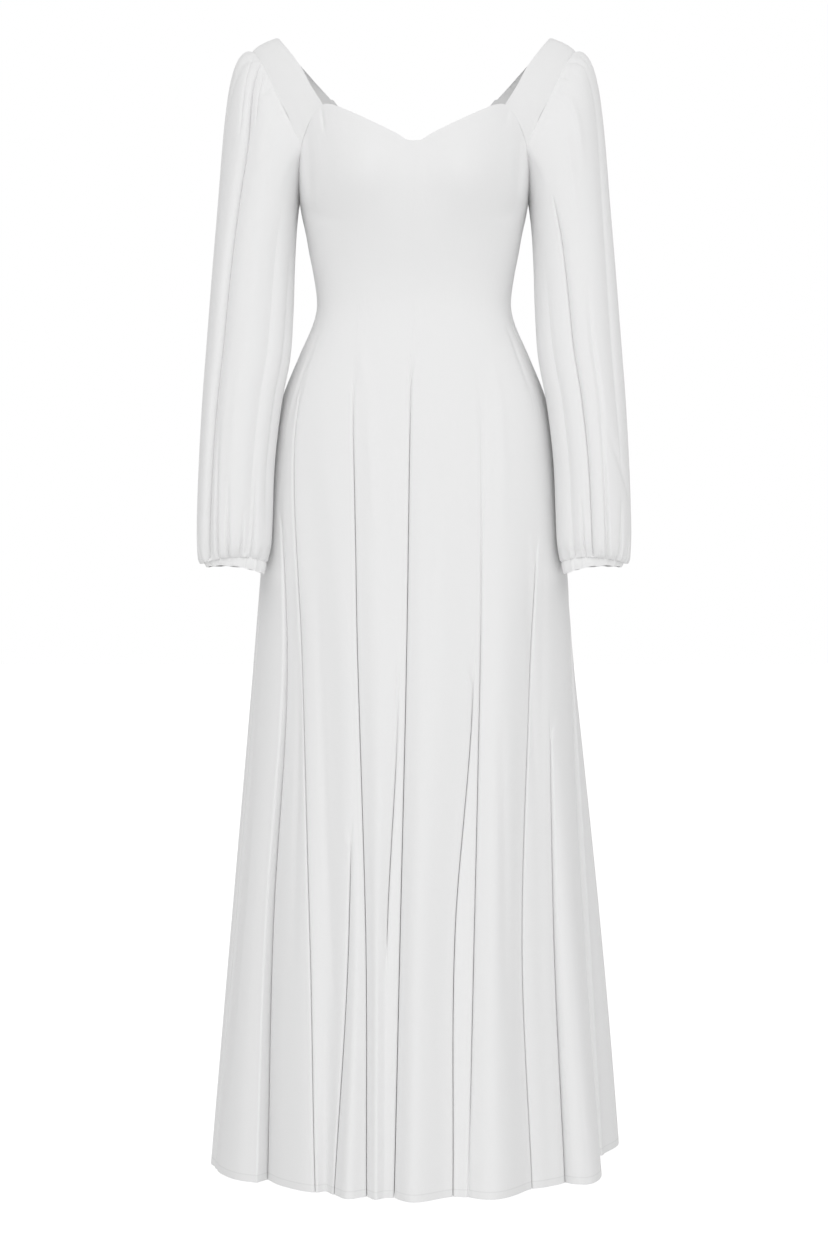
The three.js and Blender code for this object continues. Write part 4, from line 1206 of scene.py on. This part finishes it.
def math_node(
    tree: bpy.types.NodeTree, operation: str, *values: bpy.types.NodeSocket | float
) -> bpy.types.NodeSocket:
    """One step of arithmetic.

    Args:
        tree: The material's nodes.
        operation: The step's name.
        values: Sockets or numbers, in order.

    Returns:
        The socket with the result.
    """
    node = tree.nodes.new("ShaderNodeMath")
    node.operation = operation
    for socket, value in zip(node.inputs, values):
        if isinstance(value, bpy.types.NodeSocket):
            tree.links.new(value, socket)
        else:
            socket.default_value = value
    return node.outputs["Value"]


def bump_node(
    tree: bpy.types.NodeTree, height: bpy.types.NodeSocket, depth: float, under: bpy.types.NodeSocket | None
) -> bpy.types.NodeSocket:
    """A relief for a shader.

    Args:
        tree: The material's nodes.
        height: The pattern's height, from 0 to 1.
        depth: The relief's depth in metres.
        under: A coarser relief that it lies on, if any.

    Returns:
        The socket with the normal.
    """
    node = tree.nodes.new("ShaderNodeBump")
    set_inputs(node, {"Strength": 1.0, "Distance": depth})
    tree.links.new(height, node.inputs["Height"])
    if under is not None:
        tree.links.new(under, node.inputs["Normal"])
    return node.outputs["Normal"]


def finish(piece: bpy.types.Object, material: bpy.types.Material) -> None:
    """Puts one material on a piece in place of any that it had."""
    piece.data.materials.clear()
    piece.data.materials.append(material)


def dress(piece: bpy.types.Object, node: str, material: bpy.types.Material) -> None:
    """Gives a finished piece its material and its place in the frame.

    Args:
        piece: The piece.
        node: The solid that it stands for.
        material: Its finish.
    """
    finish(piece, material)
    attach(piece, BODY)
    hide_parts(node)
    area = sum(face.area for face in piece.data.polygons)
    log.info("%s: %d faces, %.4f square metres", piece.name, len(piece.data.polygons), area)


# ---- Sub-assemblies ----
@dataclass(frozen=True)
class Cut:
    """A piece's cut before it was sewn: the width and length in metres, and the area in square metres."""

    width: float
    length: float
    area: float


@dataclass
class BodyPanels:
    """The eight panels from the top edge to the hem."""

    thickness: float = 0.9
    cuts: tuple[Cut, ...] = (
        Cut(0.22, 1.36, 0.2),
        Cut(0.565, 1.36, 0.34),
        Cut(0.425, 1.39, 0.29),
        Cut(0.225, 1.39, 0.17),
        Cut(0.26, 1.39, 0.18),
        Cut(0.36, 1.39, 0.267),
        Cut(0.505, 1.36, 0.335),
        Cut(0.135, 1.36, 0.125),
    )

    def build(self, material: bpy.types.Material) -> None:
        """Builds and dresses every panel.

        Args:
            material: The cloth.
        """
        seams = [i for i, line in enumerate(FOLD_LINES) if line.name] + [len(FOLD_LINES)]
        rows = body.panel_rows()
        for name, first, last, cut in zip(PANELS, seams, seams[1:], self.cuts):
            points = body.surface(body.panel_tracks(first, last), rows)
            piece = cloth_piece(f"cloth_{name}", points, False, 1, self.thickness)
            dress(piece, name, material)


@dataclass
class ArmPieces:
    """A side's strap, sleeve and cuff."""

    side: Side
    thickness: float = 0.9
    strap_grid: tuple[int, int] = (97, 33)
    sleeve_columns: int = 256
    sleeve_rows: int = 184
    cuff_grid: tuple[int, int] = (15, 289)
    strap_cut: Cut = Cut(0.083, 0.33, 0.014)
    sleeve_cut: Cut = Cut(0.54, 0.68, 0.207)
    cuff_cut: Cut = Cut(0.26, 0.024, 0.005)

    def build(self, plain: bpy.types.Material, cuff: bpy.types.Material) -> None:
        """Builds and dresses the three pieces.

        Args:
            plain: The cloth of the strap and the sleeve.
            cuff: The cloth of the cuff.
        """
        arm = Arm(self.side)
        word = self.side.word
        facing = -self.side.value
        down = np.linspace(0, 1, self.sleeve_rows + 1)
        shares = towards(down, 0.5 - 0.5 * np.cos(math.pi * down), 0.5)
        along, across = self.strap_grid
        strap = arm.strap(np.linspace(0, 1, along), np.linspace(0, 1, across))
        sleeve = arm.sleeve(shares, self.sleeve_columns)
        rings, columns = self.cuff_grid
        band = arm.cuff(np.linspace(0, 1, rings), np.linspace(0, 360, columns))
        for kind, points, closed, material, cut, held in (
            ("strap", strap, False, plain, self.strap_cut, "hung"),
            ("sleeve", sleeve, True, plain, self.sleeve_cut, "gathered"),
            ("cuff", band, True, cuff, self.cuff_cut, "gathered"),
        ):
            node = f"{kind}_{word}"
            piece = cloth_piece(f"cloth_{node}", arm.placed(points), closed, facing, self.thickness)
            dress(piece, node, material)


@dataclass
class Zip:
    """The concealed zip: a tape behind the centre back seam, and a slider and a pull tab of metal."""

    seam: str = "centre_back"
    tape_node: str = "zip_tape"
    metal_nodes: tuple[str, ...] = ("zip_slider", "zip_pull")
    top: float = 168.0
    bottom: float = 470.0
    width: float = 20.0
    behind: float = 1.6
    bend: float = 0.4
    thickness: float = 0.9
    grid: tuple[int, int] = (76, 9)

    def build(self) -> None:
        """Builds the tape and gives the metal parts, which keep their solids, their finish."""
        self.tape(Tape("woven_tape").material())
        for node in self.metal_nodes:
            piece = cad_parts[node]
            finish(piece, Enamel(f"enamel_{node}").material())

    def tape(self, material: bpy.types.Material) -> None:
        """The tape, which follows the seam's cloth from inside.

        Args:
            material: The woven tape.
        """
        track = [line.name for line in FOLD_LINES].index(self.seam)
        seam = body.surface(np.array([float(track)]), body.panel_rows())[:, 0]
        rows, columns = self.grid
        down = np.linspace(self.top, self.bottom, rows)[:, None]
        across = np.linspace(1, -1, columns)[None, :]
        y = np.interp(down, -seam[:, 2], seam[:, 1]) - self.behind - self.bend * np.abs(across)
        points = np.stack(np.broadcast_arrays(across * self.width / 2, y, -down), axis=-1)
        piece = cloth_piece("woven_zip_tape", points, False, 1, self.thickness)
        dress(piece, self.tape_node, material)


@dataclass
class Studio:
    """A plain pale floor, soft white light and the camera, in metres."""

    floor_drop: float = 0.3
    floor_size: float = 60.0
    floor_color: tuple[float, float, float, float] = (0.95, 0.95, 0.95, 1.0)
    floor_lift: float = 0.45
    floor_specular: float = 0.1
    floor_roughness: tuple[float, float] = (0.85, 0.9)
    mottle_waves: float = 6.0
    front_level: float = 1.17
    back_level: float = 0.58
    key_energy: float = 20.4
    key_size: float = 3.0
    key_place: tuple[float, float, float] = (0.3, -3.9, 1.2)
    key_aim: tuple[float, float, float] = (0.0, 0.0, -0.7)
    camera_distance: float = 3.6
    camera_level: float = -0.7455
    lens: float = 81.52
    sensor: float = 36.0

    def build(self) -> None:
        """Makes the floor, the lights and the camera."""
        self.floor()
        self.world()
        self.key()
        self.camera()

    def floor(self) -> None:
        """A wide pale floor a little under the hem, which the camera sees brighter than it lights the gown."""
        mesh = bmesh.new()
        bmesh.ops.create_grid(mesh, x_segments=1, y_segments=1, size=self.floor_size)
        bmesh.ops.translate(mesh, verts=mesh.verts[:], vec=Vector((0, 0, -GOWN_LENGTH * MM - self.floor_drop)))
        data = bpy.data.meshes.new("floor")
        mesh.to_mesh(data)
        mesh.free()
        floor = bpy.data.objects.new("floor", data)
        bpy.context.scene.collection.objects.link(floor)
        material, tree, shader = start_material("floor")
        where = tree.nodes.new("ShaderNodeTexCoord")
        mottle = noise(tree, where.outputs["Object"], self.mottle_waves, 2.0, 0.5)
        tree.links.new(mapped(tree, mottle, *self.floor_roughness), shader.inputs["Roughness"])
        set_inputs(shader, {"Base Color": self.floor_color, "Specular IOR Level": self.floor_specular})
        set_inputs(shader, {"Emission Color": WHITE})
        ray = tree.nodes.new("ShaderNodeLightPath")
        lift = math_node(tree, "MULTIPLY", ray.outputs["Is Camera Ray"], self.floor_lift)
        tree.links.new(lift, shader.inputs["Emission Strength"])
        finish(floor, material)

    def world(self) -> None:
        """White light from all round, stronger from the front, and plain white where the camera sees it."""
        world = bpy.data.worlds.new("studio")
        world.use_nodes = True
        tree = world.node_tree
        tree.nodes.clear()
        output = tree.nodes.new("ShaderNodeOutputWorld")
        where = tree.nodes.new("ShaderNodeTexCoord")
        split = tree.nodes.new("ShaderNodeSeparateXYZ")
        tree.links.new(where.outputs["Generated"], split.inputs["Vector"])
        level = mapped(tree, split.outputs["Y"], self.front_level, self.back_level, start=-1.0, end=0.0)
        lit, seen = (tree.nodes.new("ShaderNodeBackground") for _ in range(2))
        for background in (lit, seen):
            set_inputs(background, {"Color": WHITE, "Strength": 1.0})
        tree.links.new(level, lit.inputs["Strength"])
        ray = tree.nodes.new("ShaderNodeLightPath")
        mix = tree.nodes.new("ShaderNodeMixShader")
        tree.links.new(ray.outputs["Is Camera Ray"], mix.inputs[0])
        tree.links.new(lit.outputs["Background"], mix.inputs[1])
        tree.links.new(seen.outputs["Background"], mix.inputs[2])
        tree.links.new(mix.outputs["Shader"], output.inputs["Surface"])
        bpy.context.scene.world = world

    def key(self) -> None:
        """A large soft light from the front, above."""
        lamp = bpy.data.lights.new("key", "AREA")
        lamp.shape = "SQUARE"
        lamp.size = self.key_size
        lamp.energy = self.key_energy
        key = bpy.data.objects.new("key", lamp)
        key.location = self.key_place
        key.rotation_euler = (Vector(self.key_aim) - key.location).to_track_quat("-Z", "Y").to_euler()
        bpy.context.scene.collection.objects.link(key)

    def camera(self) -> None:
        """The camera straight in front, level with the middle of the gown."""
        data = bpy.data.cameras.new("camera")
        data.lens = self.lens
        data.sensor_width = self.sensor
        camera = bpy.data.objects.new("camera", data)
        camera.location = (0, -self.camera_distance, self.camera_level)
        camera.rotation_euler = (math.pi / 2, 0, 0)
        bpy.context.scene.collection.objects.link(camera)
        bpy.context.scene.camera = camera


def main() -> None:
    """Builds the gown's looks and the studio round them."""
    logging.basicConfig(level=logging.INFO, format="%(name)s %(message)s")
    plain = Crepe(Face.PLAIN.value).material()
    hemmed = Crepe(Face.HEMMED.value, hem=HEM_BAND * MM).material()
    # The cuff is the same crepe: its lighter colour is painted light, and its deeper slubs are real relief.
    cuff = Crepe(Face.CUFF.value, color=(0.915, 0.915, 0.915), slub_depth=0.0004).material()
    BodyPanels().build(hemmed)
    for side in Side:
        ArmPieces(side).build(plain, cuff)
    Zip().build()
    Studio().build()
    bpy.context.scene.view_settings.view_transform = "Standard"


if __name__ == "__main__":
    main()
